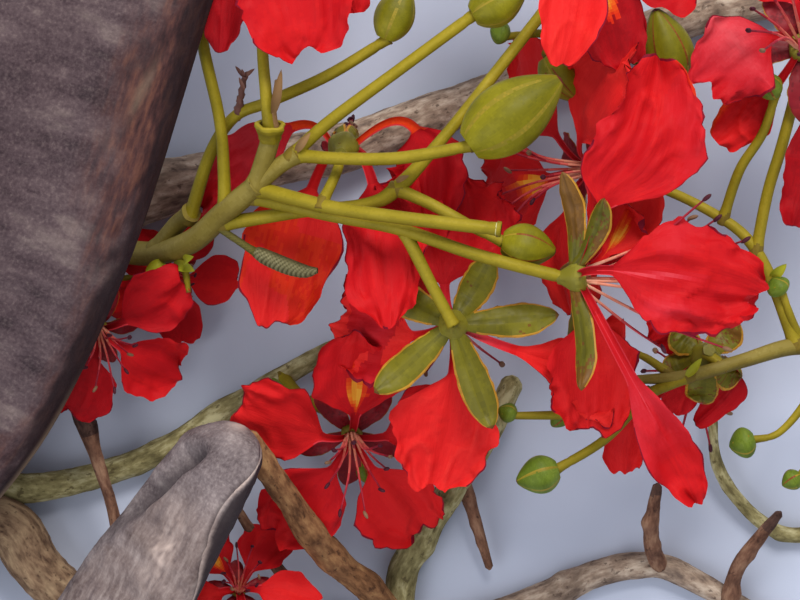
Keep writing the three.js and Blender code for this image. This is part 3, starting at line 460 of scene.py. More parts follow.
def grained(tree, size, detail=4, stretch=(1, 1, 1)):
    """Noise in the surface's own grain, in lumps of about size millimetres."""
    source = node(tree, "ShaderNodeAttribute", attribute_name="grain").outputs["Vector"]
    mapping = node(tree, "ShaderNodeMapping", {"Scale": [1 / (size * s) for s in stretch]})
    lumps = node(tree, "ShaderNodeTexNoise", {"Scale": 1, "Detail": detail, "Roughness": 0.6})
    tree.links.new(source, mapping.inputs["Vector"])
    tree.links.new(mapping.outputs["Vector"], lumps.inputs["Vector"])
    return lumps.outputs["Fac"]


def ramp(tree, source, low, high, codes):
    """Colours laid over the source, evenly from low to high."""
    codes = codes.split()
    made = node(tree, "ShaderNodeValToRGB")
    marks = made.color_ramp.elements
    while len(marks) < len(codes):
        marks.new(0.5)
    for k, (mark, code) in enumerate(zip(marks, codes)):
        mark.position = low + (high - low) * k / (len(codes) - 1)
        mark.color = colour(code)
    tree.links.new(source, made.inputs["Fac"])
    return made.outputs["Color"]


def spread(tree, source, low, high, least, most):
    """The source's values from low to high, brought to least to most."""
    made = node(tree, "ShaderNodeMapRange", {
        "From Min": low, "From Max": high, "To Min": least, "To Max": most})
    tree.links.new(source, made.inputs["Value"])
    return made.outputs["Result"]


def mixed(tree, share, first, second):
    """The first colour, and the second where the share is high."""
    made = node(tree, "ShaderNodeMix", data_type="RGBA")
    for place, value in ((0, share), (6, first), (7, second)):
        if isinstance(value, bpy.types.NodeSocket):
            tree.links.new(value, made.inputs[place])
        else:
            made.inputs[place].default_value = value
    return made.outputs[2]


def finish(name, tint, rough=(0.5, 0.66), relief=0.2, size=1.2, stretch=(1, 1, 1), gloss=0.22):
    """A plain colour with uneven roughness and a fine relief."""
    made = bpy.data.materials.new(name)
    made.use_nodes = True
    tree = made.node_tree
    shader = tree.nodes["Principled BSDF"]
    shader.inputs["Base Color"].default_value = colour(tint)
    shader.inputs["Specular IOR Level"].default_value = gloss
    lumps = grained(tree, size, stretch=stretch)
    tree.links.new(spread(tree, lumps, 0.3, 0.7, *rough), shader.inputs["Roughness"])
    bump = node(tree, "ShaderNodeBump", {"Strength": relief, "Distance": 0.0005})
    tree.links.new(lumps, bump.inputs["Height"])
    tree.links.new(bump.outputs["Normal"], shader.inputs["Normal"])
    return made


def dyed(made, tint):
    shader = made.node_tree.nodes["Principled BSDF"]
    made.node_tree.links.new(tint, shader.inputs["Base Color"])
    return made


class Palette:
    """The finishes of a piece, in rows of close tones: by key, colours and number of tones."""

    def __init__(self, name, rows, **surface):
        self.finishes, self.rows = [], {}
        self.chance = np.random.default_rng(11)
        for key, (codes, count) in rows.items():
            self.rows[key] = len(self.finishes), count
            marks = np.array([screen(code) for code in codes.split()])
            for k in range(count):
                place = (k + 0.5) / count * (len(marks) - 1)
                tint = np.array([np.interp(place, range(len(marks)), mark) for mark in marks.T])
                self.finishes.append(finish(f"{name}_{key}_{k}", tint, **surface))

    def pick(self, key, share=0.5):
        """Numbers of finishes, for shares from 0 to 1 of the way along a row."""
        start, count = self.rows[key]
        share = np.asarray(share, float)
        place = share * count + self.chance.uniform(-0.35, 0.35, share.shape)
        return start + np.clip(np.floor(place), 0, count - 1).astype(int)

    def lay(self, kinds, where, key, share=0.5):
        """Gives some of the faces a finish from another row."""
        kinds[where] = np.broadcast_to(self.pick(key, share), kinds.shape)[where]


# Bark
BARK_KINDS = {
    "sand": ("4f3a2d 846a53 a48a6c", "3a281f"),
    "grey": ("66564d 95806f c0ae9c", "4b3b33"),
    "lichen": ("5f5638 8b8158 b9b188", "4a3f28"),
    "tan": ("523521 80583a a07850", "3c2519"),
    "brown": ("4a3026 72503f 927059", "2f1f1a"),
    "dark": ("33211e 4f3830 6b4f44", "211614"),
}
CUT_KINDS = {"wood": "b8946a", "ring": "8f6c48"}
BARK_ROWS = [*BARK_KINDS, *CUT_KINDS]


def bark(name, codes, fleck):
    """Bark: fine streaks of its colours, under blotches and flecks of a dark one."""
    made = finish(name, fleck, (0.8, 0.95), 0.6, 1.8, (1, 1, 2.6), 0.15)
    tree = made.node_tree
    streaks = ramp(tree, grained(tree, 2.4, 8, (1, 1, 2.6)), 0.34, 0.66, codes)
    blotches = spread(tree, grained(tree, 9, 6, (1, 1, 1.5)), 0.52, 0.72, 0, 0.7)
    flecks = spread(tree, grained(tree, 1.5, 3, (1, 1, 1.4)), 0.6, 0.68, 0, 0.7)
    dark = colour(fleck)
    return dyed(made, mixed(tree, flecks, mixed(tree, blotches, streaks, dark), dark))


def bark_finishes():
    made = [bark(f"bark_{name}", *shape) for name, shape in BARK_KINDS.items()]
    return made + [finish(f"cut_{name}", code, (0.75, 0.9), 0.3) for name, code in CUT_KINDS.items()]


def kinds_along(t, marks, points):
    """The kind of bark at each station number, with ragged borders."""
    ragged = t + 0.5 * noise(points, 9, 4)
    kinds = np.full(ragged.shape, BARK_ROWS.index(marks[0][1]))
    for start, kind in marks[1:]:
        kinds[ragged > start] = BARK_ROWS.index(kind)
    return kinds


def limb(heap, stations, marks, knots, seed):
    """A limb with furrows, knots and a blunt, rounded tip."""
    thick = stations[0][3] > 4
    sides, step = (BARK_SIDES, BARK_STEP) if thick else (TWIG_SIDES, TWIG_STEP)
    t, arc, centre, radius, out, angle = rings(stations, step, sides)
    left = (arc[-1] - arc) / radius[-1]
    radius = radius * np.sqrt(1 - 0.9 * (1 - smooth(left)) ** 2)
    flat = unrolled(arc, radius, angle)
    furrows = 1 - 2 * np.abs(noise(flat / [1, 1, 5], 1.6, seed))
    lumps = noise(flat / [1, 1, 1.6], 5, seed + 1)
    swell = 0.06 * lumps + 0.035 * furrows + 0.03 * noise(flat, 1.1, seed + 2)
    swell += 0.07 * noise(np.stack([arc, 0 * arc, 0 * arc], axis=1), 9, seed + 3)[:, None]
    wander = np.stack([noise(centre, 13, seed + 5 + k) for k in range(3)], axis=1)
    centre = centre + wander * (0.13 * radius * smooth(arc / 8))[:, None]
    for place, turn, high in knots:
        far = (arc[:, None] - place * arc[-1]) / (1.1 * radius[:, None])
        round_it = (angle - turn + math.pi) % (2 * math.pi) - math.pi
        swell = swell + high * np.exp(-far**2 - round_it**2)
    points = centre[:, None] + out * (radius[:, None] * (1 + swell))[..., None]
    kinds = kinds_along(t[:-1, None] + 0 * angle, marks, points[:-1])
    heap.sheet(points, kinds, flat, around=True)
    heap.cap(points[-1], kinds[-1])
    return points, kinds


def cut_face(heap, ring, forward):
    """The sawn end of a limb: bark, sapwood and yearly rings."""
    middle = ring.mean(axis=0)
    shares = [1, 0.9, 0.88, 0.74, 0.71, 0.56, 0.53, 0.38, 0.35, 0.2, 0.17, 0.02]
    layers = np.stack([middle + (ring - middle) * s for s in shares])
    layers -= forward * (0.25 * np.arange(len(shares)) % 0.5)[:, None, None]
    kinds = [BARK_ROWS.index("sand")]
    kinds += [BARK_ROWS.index("wood" if k % 2 else "ring") for k in range(1, len(shares) - 1)]
    heap.sheet(layers[::-1], np.array(kinds[::-1])[:, None], around=True)


def make_bark():
    chance = np.random.default_rng(7)
    heaps = {"bark_lower": Heap(), "bark_upper": Heap(), "bark_twigs": Heap()}
    nodes = {name: [] for name in heaps}
    for i, (names, marks, stations) in enumerate(LIMBS):
        name = list(heaps)[min(i, 2)]
        heap = heaps[name]
        nodes[name] += names
        count = 3 + len(stations) // 2
        knots = np.column_stack([
            chance.uniform(0.06, 0.94, count), chance.uniform(0, 2 * math.pi, count),
            chance.uniform(0.1, 0.4, count)])
        points, kinds = limb(heap, stations, marks, knots, 10 * i)
        if i == 0:
            cut_face(heap, points[0], unit(points[1].mean(axis=0) - points[0].mean(axis=0)))
        else:
            heap.cap(points[0], kinds[0], flip=True)
    finishes = bark_finishes()
    for name, heap in heaps.items():
        heap.make(name, finishes, "bark", *nodes[name])


# Stems
STEM_ROWS = {
    "main": ("43350e 5f4f1a 7b6b2b 958647", 13),
    "stalk": ("4c3a12 5f510c 766710 8b7b18 a4902c", 15),
    "joint": ("5a481a 7a6620", 4),
    "dry": ("472a2c 7b5446", 4),
    "bract": ("7e8014 a8a62c", 3),
    "husk": ("6a4a2c 8c6c46", 3),
    "cut": ("c2bb86", 1),
}
FRONT_KEYS = {0: "main", 1: "main", 2: "main", 3: "main", 6: "dry", 8: "husk"}


def tube(heap, stations, sides, step, kind_of, swell_of=None):
    """A round stem. kind_of takes the way from its two ends, its points and how lit they are."""
    _, arc, centre, radius, out, angle = rings(stations, step, sides)
    left = arc[-1] - arc
    swell = 0 if swell_of is None else swell_of(arc[:, None], left[:, None], angle[None])
    points = centre[:, None] + out * (radius[:, None] * (1 + swell) + 0 * angle)[..., None]
    # Painted light: how far each face turns to LIT, which kind_of turns into lighter or darker tones
    lit = out @ unit(np.array(LIT))
    kinds = kind_of(arc[:-1, None] + 0 * angle, left[:-1, None] + 0 * angle, points[:-1], lit[:-1])
    heap.sheet(points, kinds, unrolled(arc, radius, angle), around=True)
    heap.cap(points[0], kinds[0], flip=True)
    heap.cap(points[-1], kinds[-1])


def lathe(heap, foot, axis, profile, sides, kinds, swell_of=None):
    """A round body on an axis, closed at its foot: the way along it and its radius."""
    axis = unit(np.asarray(axis, float))
    side = np.array([1.0, 0, 0]) if abs(axis[2]) > 0.8 else np.array([0, 0, 1.0])
    side = unit(side - side.dot(axis) * axis)
    far, radius = np.asarray(profile, float).T
    angle = 2 * math.pi * np.arange(sides) / sides
    out = np.cos(angle)[:, None] * side + np.sin(angle)[:, None] * np.cross(axis, side)
    reach = radius[:, None] * (1 + (0 if swell_of is None else swell_of(far[:, None], angle)))
    points = np.asarray(foot, float) + far[:, None, None] * axis + out * reach[..., None]
    kinds = np.broadcast_to(kinds, (len(far) - 1, sides))
    heap.sheet(points, kinds, around=True)
    heap.cap(points[0], kinds[0], flip=True)


def raceme_stem(heap, palette, stations, key):
    """A stem with swollen joints, faint ribs and, on the stalks, a ring before its end."""
    line = np.array(stations, float)
    root, tip = line[0].copy(), line[-1].copy()
    root[:3] -= unit(line[1, :3] - line[0, :3]) * STEM_ROOT
    root[3] *= 0.8
    tip[:3] += unit(line[-1, :3] - line[-2, :3]) * STEM_TIP

    def swell(arc, left, angle):
        joint = 0.25 * np.exp(-((arc - STEM_ROOT) / 2.2) ** 2) + 0.22 * np.exp(-(left / 2) ** 2)
        if key == "dry":
            return joint - 0.4 + 0.13 * np.cos(2.1 * arc + angle) + 0.1 * np.cos(5.3 * arc)
        band = -0.1 * np.exp(-((left - 5) / 0.5) ** 2)
        return joint + 0.03 * np.cos(5 * angle) + (0 if key == "main" else band)

    def kind_of(arc, left, points, lit):
        # Painted light: the side that faces LIT gets lighter tones and the far side darker ones; the
        # noise is the stem's own mottling
        tone = 0.48 + 0.32 * lit + 0.14 * noise(points, 6, 3) + 0.04 * noise(points, 1.6, 4)
        kinds = palette.pick(key, tone)
        ends = (arc < STEM_ROOT + 1 + noise(points, 2, 5)) | (left < 0.8 + 0.5 * noise(points, 2, 6))
        if key == "stalk":
            palette.lay(kinds, ends, "joint", tone)
        return kinds

    tube(heap, [root, *line, tip], STEM_SIDES, STEM_STEP, kind_of, swell)


def scale_leaf(heap, foot, tip, wide, face, kind):
    """A small bract: a pointed blade that bows towards its face."""
    foot, tip, face = (np.asarray(p, float) for p in (foot, tip, face))
    u = np.linspace(0, 1, 12)[:, None, None]
    v = np.linspace(-1, 1, 9)[None, :, None]
    forward = unit(tip - foot)
    across = unit(np.cross(forward, face))
    half = wide * np.sin(math.pi * (0.1 + 0.9 * u)) ** 0.7
    bow = 0.18 * np.linalg.norm(tip - foot) * np.sin(math.pi * u) + 0.5 * half * v**2
    heap.sheet(foot + (tip - foot) * u + across * half * v + np.cross(across, forward) * bow, kind)


# The open cup of a fallen bloom, with the next pedicel standing in it
CUP = [(-2.5, 2.6), (-1.4, 3), (-0.4, 3), (0.6, 3.5), (1.6, 4), (2.4, 4), (2.8, 3.5),
       (2.5, 2.8), (1.3, 2.4), (0, 2)]
CUP_TONES = [0.5, 0.4, 0.35, 0.5, 0.75, 0.9, 0.85, 0.2, 0]

# The square end of the cut stem in front
CUT_END = [(-0.3, 1.85), (0.1, 1.95), (0.12, 1.4), (0.1, 0.02)]

# The dead stub's top, and its scales: how far under the top and which way they go
STUB_TOP = (-42.1, 60.2, 74)
STUB_SCALES = [
    (0, (-2.4, 3, 0.6)), (0, (-0.6, 2.2, 1.6)), (0, (1, 1.6, -0.6)), (0, (2.9, 2.3, 0.9)),
    (3.4, (-1.4, 3.4, 0.8)),
]

# Bracts at the joints, under the main stem and where a pedicel leaves
BRACTS = [
    ((-68, 10, 40), (-63, 5, 42), 1.8, "bract"), ((-63, 10, 44), (-57, 8, 46), 1.6, "bract"),
    ((-66, 11, 41), (-71, 8, 41), 1.4, "bract"), ((-60, 11, 47), (-57, 12, 51), 1.4, "bract"),
    ((-34, 50, 82), (-31.6, 61.5, 88), 1.25, "husk"), ((-1, 32, 76), (2.5, 33.5, 78), 0.8, "husk"),
    ((-28, 40, 78), (-24, 45, 81), 1.1, "husk"),
    ((103, 6, 47), (107, 10, 50), 1.5, "bract"), ((79, -21, 54), (83, -16, 56), 1.2, "bract"),
]


def stem_trim(heap, palette):
    rows = palette.pick("stalk", np.array(CUP_TONES))
    lathe(heap, (-35, 45, 78.5), (0.05, 0.9, 0.42), CUP, 32, rows[:, None],
          lambda far, angle: 0.08 * np.cos(5 * angle + far) + 0.03 * np.cos(11 * angle))
    lathe(heap, (25.8, 18.9, 88.1), (1, -0.11, 0.08), CUT_END, 16, palette.pick("cut"))
    for drop, way in STUB_SCALES:
        foot = np.array(STUB_TOP) - [0, drop, 0]
        scale_leaf(heap, foot, foot + way, 0.55, (0, 0, 1), palette.pick("dry", 0.8))
    for foot, tip, wide, key in BRACTS:
        scale_leaf(heap, foot, tip, wide, (0.1, 0.1, 1), palette.pick(key, 0.6))


def make_stems():
    heap = Heap()
    palette = Palette("stem", STEM_ROWS, size=1.1, stretch=(1, 1, 4), gloss=0.16)
    for name, (stems, _) in RACEMES.items():
        for k, stations in enumerate(stems):
            thick = max(row[3] for row in stations) > 2.5
            key = FRONT_KEYS.get(k, "stalk") if name == "front_raceme" else ("stalk", "main")[thick]
            raceme_stem(heap, palette, stations, key)
    stem_trim(heap, palette)
    heap.make("stems", palette.finishes, "stem", *RACEMES)


# Buds
BUD_SEPALS = 5
BUD_GRID = (48, 70)               # rows and columns of faces
SMALL_BUD_GRID = (20, 36)
BUD_ROWS = {
    "green": ("434005 5a5606 6e6808 827a0e 988e20", 14),
    "small": ("394408 4c5c10 62741e 7c8c36", 9),
    "suture": ("7c721c a08428", 3),
    "line": ("6e3414 8a4c1c", 2),
    "tip": ("5a1a18", 1),
}


def bud(heap, palette, foot, tip, radius, grid, turn, key, striped=False):
    """A bud of five sepals that meet in raised seams."""
    rows, sides = grid
    foot, tip = np.asarray(foot, float), np.asarray(tip, float)
    axis = tip - foot
    share = np.linspace(0, 1, rows + 1) ** 0.9
    high = np.sin(math.pi * (BUD_FOOT + BUD_ROUND * share**0.9)) ** 0.8
    high[-1] = 0.04
    profile = np.column_stack([share * np.linalg.norm(axis), radius * high])
    angle = 2 * math.pi * np.arange(sides) / sides

    def from_seam(at):
        return 1 - np.abs((at * BUD_SEPALS / (2 * math.pi) + turn) % 1 - 0.5) * 2

    def swell(far, at):
        seam = from_seam(at)
        lip = 0.05 * np.exp(-(seam / 0.12) ** 2) - 0.05 * np.exp(-(seam / 0.04) ** 2)
        return 0.03 * np.cos(math.pi * (1 - seam)) + lip + 0 * far

    up = share[:-1, None] + 0 * angle
    seam = from_seam(angle + math.pi / sides) + 0 * up
    place = np.stack([radius * np.cos(angle) + 0 * up, radius * np.sin(angle) + 0 * up, 20 * up], -1)
    tone = 0.45 + 0.2 * noise(place, 5, radius) + 0.08 * noise(place, 1.3, radius) + 0.25 * (1 - up)
    kinds = palette.pick(key, tone)
    near = 0.09 + 0.03 * noise(place, 2, 3)
    palette.lay(kinds, seam < near, "suture", 1 - seam / 0.1)
    lined = (seam < 0.045) & (up > 0.2)
    if striped:
        lined |= (np.abs(seam - 0.36) < 0.07) & (up > 0.2)
    palette.lay(kinds, lined, "line", 0.5 + 0 * up)
    palette.lay(kinds, up > 0.965, "tip")
    lathe(heap, foot, axis, profile, sides, kinds, swell)


def make_buds():
    heap = Heap()
    palette = Palette("bud", BUD_ROWS, rough=(0.45, 0.6), relief=0.12, size=2, gloss=0.2)
    for k, (name, (foot, tip, radius)) in enumerate(BUDS.items()):
        turn = 0.5 if name == "bud_3" else 0.13 * k
        key = "small" if name == "bud_7" else "green"
        bud(heap, palette, foot, tip, radius, BUD_GRID, turn, key, name == "bud_6")
    for _, buds in RACEMES.values():
        for k, (foot, tip, radius) in enumerate(buds):
            bud(heap, palette, foot, tip, radius, SMALL_BUD_GRID, 0.2 * k, "small")
    heap.make("buds", palette.finishes, "bud", *BUDS)


# Blooms, brought to one form
# In a plain bloom, how far along its axis and how far out from it some points lie
PLAIN_CLAW = (14, 18)             # the ends of the claws
PLAIN_TIP = (12, 50)              # the tips of the petals
PLAIN_SEPAL = (1, 25)             # the tips of the sepals
PLAIN_WIDTH = 36                  # width of its petals


def sides_of(axis):
    side = unit(np.array([0, 1.0, 0]) - axis[1] * axis)
    return side, np.cross(axis, side)


def drawn_bloom(order, name):
    """A bloom from the table of those whose petals show."""
    foot, out, sepals, petals = BLOOMS[name]
    return SimpleNamespace(
        name=name, start=np.array(foot, float), axis=unit(np.array(out, float)), size=1,
        face=np.array([0.0, 0, 1]), step=0, wave=1.7, seed=5 * order,
        sepals=np.array(sepals, float),
        petals=[(np.array(via, float), np.array(tip, float), *rest) for via, tip, *rest in petals])


def plain_bloom(order, name):
    """A bloom by the general rule: its petals turned evenly round, its sepals between them."""
    foot, out, turn, size, red = PLAIN_BLOOMS[name]
    start, axis = np.array(foot, float), unit(np.array(out, float))
    side, other = sides_of(axis)

    def spot(angle, far, wide):
        round_it = side * math.cos(angle) + other * math.sin(angle)
        return start + axis * far * size + round_it * wide * size

    petals, sepals = [], []
    for k in range(5):
        angle = math.radians(turn + 72 * k)
        rise = 5 * math.sin(3 * k + 1)
        petals.append((spot(angle, *PLAIN_CLAW), spot(angle, PLAIN_TIP[0] + rise, PLAIN_TIP[1]),
                       PLAIN_WIDTH * size, red + k % 2, 1.3 * size))
        sepals.append(spot(angle + math.pi / 5, *PLAIN_SEPAL))
    return SimpleNamespace(
        name=name, start=start, axis=axis, size=size, face=axis, step=WHORL_STEP * size,
        wave=2.1, seed=60 + 5 * order, sepals=sepals, petals=petals)


DRAWN = [drawn_bloom(*row) for row in enumerate(BLOOMS)]
PLAIN = [plain_bloom(*row) for row in enumerate(PLAIN_BLOOMS)]


def middle_at(bloom, share):
    """The middle of a bloom's calyx, that share of the way up."""
    return bloom.start + bloom.axis * CALYX_DEEP * share * bloom.size


def seat(bloom, middle, far):
    """Where a petal or sepal stands on the calyx, on the side that faces its far end."""
    away = far - middle
    away = away - away.dot(bloom.axis) * bloom.axis
    return middle + unit(away) * CALYX_RING * bloom.size


def spine(foot, via, tip, face, u):
    """Points, forward, across and up along a bent spine from foot through via to tip.
    It faces its way near the tip, and from there to its foot it bends without a twist."""
    bend = 2 * via - 0.5 * foot - 0.5 * tip
    first, last = bend - foot, tip - bend
    u = u[:, None]
    points = foot * (1 - u) ** 2 + bend * 2 * u * (1 - u) + tip * u**2
    forward = unit(first * (1 - u) + last * u)
    ahead = unit(first * (1 - LEVEL_AT) + last * LEVEL_AT)
    level = unit(np.cross(ahead, face))
    axle = np.cross(first, last)
    if np.linalg.norm(axle) < STRAIGHT * np.linalg.norm(first) * np.linalg.norm(last):
        axle = level
    axle = unit(axle)
    turned = level.dot(np.cross(axle, ahead))
    across = unit(np.cross(axle, forward) * turned + axle * level.dot(axle))
    return points, forward, across, np.cross(across, forward)


def crowded(columns, share):
    """Places across a blade from -1 to 1, closer together towards its rims."""
    return np.sin(np.linspace(-1, 1, columns + 1) * share) / math.sin(share)


def at_faces(uu, vv, place):
    """Shares along and across, and places, of the faces of a grid."""
    return uu[:-1, :-1], (vv[:-1, :-1] + vv[:-1, 1:]) / 2, place[:-1, :-1]


# Petals
PETAL_ROWS = {
    "red": ("30040d 58070f 7c0912 9a0c15 b00f18 c21519 d01d1d dd2a25", 24),
    "pink": ("b81219 c4242f d0434c d96a6c", 15),
    "orange": ("c81c12 d83412 e25a18 e68a24 e8a838", 9),
    "rim": ("6a0a22 860f22", 2),
}

# What is special about a petal: by bloom and number. Some of it is painted light: an orange
# glow where light shines through a petal's side, blade or claws, a pink sheen, and a pale
# highlight along the midrib
TRIMS = {
    ("bloom_side", 0): {"edge": 0.93, "lean": 0.5, "neck": 0.45, "widest": 0.64, "painted_sheen": 0.1},
    ("bloom_side", 1): {"throat": 1}, ("bloom_side", 2): {"ridge": 1, "painted_sheen": 0.1},
    ("bloom_side", 3): {"ridge": 1, "painted_sheen": 0.5, "neck": 0.6, "widest": 0.86, "slim": 0.9},
    ("bloom_front", 1): {"painted_sheen": 0.4}, ("bloom_front", 2): {"fan": 1, "pink claw": 1},
    ("bloom_front", 3): {"pink claw": 1},
    ("bloom_back", 0): {"painted_sheen": 1.1, "neck": 0.45, "slim": 0.66, "warm claw": 1},
    ("bloom_back", 1): {"warm": 1, "neck": 0.5}, ("bloom_back", 2): {"neck": 0.46},
    ("bloom_back", 3): {"neck": 0.5, "warm claw": 1}, ("bloom_top", 2): {"edge": 1},
    ("bloom_upper", 1): {"throat": 1}, ("bloom_upper", 3): {"painted_sheen": 0.5},
    ("bloom_right", 0): {"painted_sheen": 0.7}, ("bloom_right", 1): {"edge": 1},
    **{(name, 0): {"throat": 1} for name in PLAIN_BLOOMS},
}


def petal_shape(grid, line, face, width, wave, crumple, seed, trim):
    """A clawed petal with a ragged, ruffled rim, soft folds and sharp creases: its points,
    and the places on it that its colours go by."""
    foot, via, tip = line
    rows, columns = grid
    u = 1 - (1 - np.linspace(0, 1, rows + 1)) ** 1.35
    v = crowded(columns, 1.43)
    width *= trim.get("slim", 1)
    centre, forward, across, up = spine(foot, via, tip, face, u)
    neck = trim.get("neck", CLAW_END * 0.92)
    widest = 0.9 if "fan" in trim else trim.get("widest", PETAL_WIDEST)
    grown = np.clip((u - neck) / (widest - neck), 0, 1)
    grown = grown**1.6 if "fan" in trim else smooth(grown) ** 0.8
    close = np.clip((u - widest) / (1 - widest), 0, 1)
    claw = CLAW_HALF * (0.7 + 0.9 * u)
    half = (claw + (width / 2 - claw) * grown) * np.sqrt(1 - TIP_CURVE * close**2.8)
    opened = smooth((u - neck) / (1 - neck) * 1.6)[:, None]
    long = np.linalg.norm(tip - via) + np.linalg.norm(via - foot)
    uu, vv = np.meshgrid(u, v, indexing="ij")
    place = np.stack([vv * half[:, None], uu * long, 0 * uu + 9 * seed], axis=-1)
    fan = np.stack([vv * width / 2, uu * long / 6, 0 * uu + 9 * seed], axis=-1)

    # The sheet's rise: a cup, waves as in the solid, then ruffles, folds and creases
    rim = np.abs(vv) ** 3
    end = np.clip((uu - 0.75) / 0.25, 0, 1) ** 2
    phase = wave + 2.5 * noise(place, 10, seed)
    ripple = PETAL_WAVE * vv**2 * np.sin(wave + 6 * uu + 2.6 * vv)
    ruffle = (rim + 0.8 * end) * (2 * noise(place, 4.2, seed) + 1.1 * noise(place, 1.8, seed + 1))
    folds = 0.9 * np.sin(5 * vv + phase) + 0.9 * noise(fan, 3, seed + 2)
    creases = (1 - np.abs(noise(place / [1, 1.9, 1], 6, seed + 3))) ** 7
    puckers = noise(place, 1.5, seed + 4) * noise(place, 7, seed + 5)
    midrib = 0.5 * np.exp(-(vv / 0.13) ** 2) - 0.6 * np.exp(-(vv / 0.05) ** 2)
    blade = ripple + crumple * (ruffle + folds + 1.5 * creases + 0.9 * puckers) + midrib
    channel = 0.8 * CLAW_HALF * vv**2 * (1 - opened)
    rise = opened * (PETAL_CUP * half[:, None] * vv**2 + blade) + channel

    # Its outline: ragged along the sides, notched at the tip
    ragged = 0.17 * noise(place, 5, seed + 6) + 0.09 * noise(place, 1.6, seed + 7)
    lean = trim.get("lean", 0) * half[:, None] * opened
    offset = vv * half[:, None] * (1 + opened * rim * ragged * (0.6 + 0.6 * crumple)) + lean
    notches = 2.6 * noise(place, 5, seed + 8) + 1.2 * noise(place, 1.7, seed + 9)
    stretch = close[:, None] ** 2 * notches * (0.5 + 0.6 * crumple)
    points = centre[:, None] + across[:, None] * offset[..., None]
    points += up[:, None] * rise[..., None] + forward[:, None] * stretch[..., None]
    grain = np.stack([vv * width / 2, uu * long, 0 * uu + seed], axis=-1)
    return points, SimpleNamespace(
        uu=uu, vv=vv, place=place, fan=fan, creases=creases, neck=neck, grain=grain)


def petal_kinds(palette, blade, red, seed, trim):
    """Reds: creases painted lighter as highlights, faint veins, a pink or orange foot and a thin dark
    rim.
    """
    uc, vc, at = at_faces(blade.uu, blade.vv, blade.place)
    neck = blade.neck
    veins = noise(blade.fan[:-1, :-1], 0.9, seed + 10)
    # Painted light: creases get lighter tones as painted highlights, and the petal's red is set
    # lighter for petals in shade
    tone = 0.12 * red + 0.02 + 0.08 * blade.creases[:-1, :-1] + 0.05 * noise(at, 8, seed + 11)
    tone += 0.025 * veins + 0.1 * (uc - 0.6) - 0.1 * (uc < neck)
    kinds = palette.pick("red", tone)

    def tint(where, key, share):
        palette.lay(kinds, where, key, share + 0 * uc)

    # Painted light: an orange band along one side of the blade, where light shines through the petal
    if "edge" in trim:
        edge = trim["edge"] * vc - 0.7 + 0.14 * noise(at, 8, seed + 12)
        tint((edge > 0) & (uc > 0.66), "orange", edge * 1.3)
    if "throat" in trim:
        throat = 1 - np.abs(vc) / 0.34 - np.abs(uc - 0.56) / 0.26 + 0.4 * veins
        tint(throat > 0, "orange", 0.1 + 1.1 * throat)
    # Painted light: orange patches over the blade, where light shines through the petal
    if "warm" in trim:
        tint((uc > neck) & (noise(at, 9, seed + 12) > -0.1), "orange", 0.12 + 0.1 * veins)
    # Painted highlight: a pink sheen over part of the blade
    if "painted_sheen" in trim:
        glow = noise(at / [1, 2, 1], 8, seed + 13) + trim["painted_sheen"] - 3 * np.abs(uc - 0.68)
        tint(glow > 0, "pink", 0.5 * glow)
    # Painted highlight: a pale pink line along the midrib, where light catches it
    if "ridge" in trim:
        ridge = np.exp(-((vc - 0.1 * np.sin(5 * uc)) / 0.07) ** 2) * smooth((0.92 - uc) / 0.3)
        tint((ridge > 0.2) & (uc > 0.25), "pink", 0.75 * ridge - 0.12)
    claws = uc < neck + 0.06 * noise(at, 3, seed + 14)
    if "pink claw" in trim:
        tint(claws, "pink", 0.9 - 0.75 * uc / neck)
    # Painted light: the claws are painted orange as if light shone through them, lifting them out of
    # their shade
    if "warm claw" in trim:
        tint(claws, "orange", 0.3)
    tint(claws & (np.abs(vc) > 0.8), "pink", 0.5)
    thin = noise(at, 9, seed + 15) > 0
    tint(((np.abs(vc) > 0.972) & (uc > neck) | (uc > 0.991)) & thin, "rim", 0.5)
    return kinds


def make_petals():
    palette = Palette("petal", PETAL_ROWS, rough=(0.55, 0.7), relief=0.35, size=0.7,
                      stretch=(1, 7, 1), gloss=0.1)
    for piece, blooms, grid in (("petals_near", DRAWN, NEAR_PETAL), ("petals_far", PLAIN, FAR_PETAL)):
        heap = Heap()
        for bloom in blooms:
            mouth = middle_at(bloom, PETAL_LEVEL)
            for k, (via, tip, width, red, crumple) in enumerate(bloom.petals):
                mouth = mouth + bloom.axis * bloom.step
                line = seat(bloom, mouth, via), via, tip
                seed, trim = bloom.seed + k, TRIMS.get((bloom.name, k), {})
                points, blade = petal_shape(
                    grid, line, bloom.face, width, bloom.wave * k, crumple, seed, trim)
                heap.sheet(points, petal_kinds(palette, blade, red, seed, trim), blade.grain)
        heap.make(piece, palette.finishes, "petal", *(bloom.name for bloom in blooms))


# Sepals and calyces
# How far the sepals of a bloom are turned to the camera, how rusty, wide and long they are
SEPAL_TURNS = {
    "bloom_side": (0.85, 0.55, 0.74, 1), "bloom_front": (0, -0.05, 1, 1),
    "bloom_back": (0, 0.1, 0.7, 0.55),
}
SEPAL_ROWS = {
    "olive": ("3e3b08 534e0a 69620c 7d7412 8f8420", 14),
    "rust": ("4c300c 684410 82591a", 6),
    "gold": ("86601a b07c22 c89434", 4),
    "inner": ("560b14 861420 a82822", 5),
    "cup": ("5f5812 7a7220 928a36", 6),
}
CALYX = [(-1.2, 1.5), (-0.2, 1.9), (1.5, 2.9), (3, 3.8), (4.4, 4.3), (6, 4.1), (7, 3.6), (7.2, 2.4),
         (6, 1.5)]


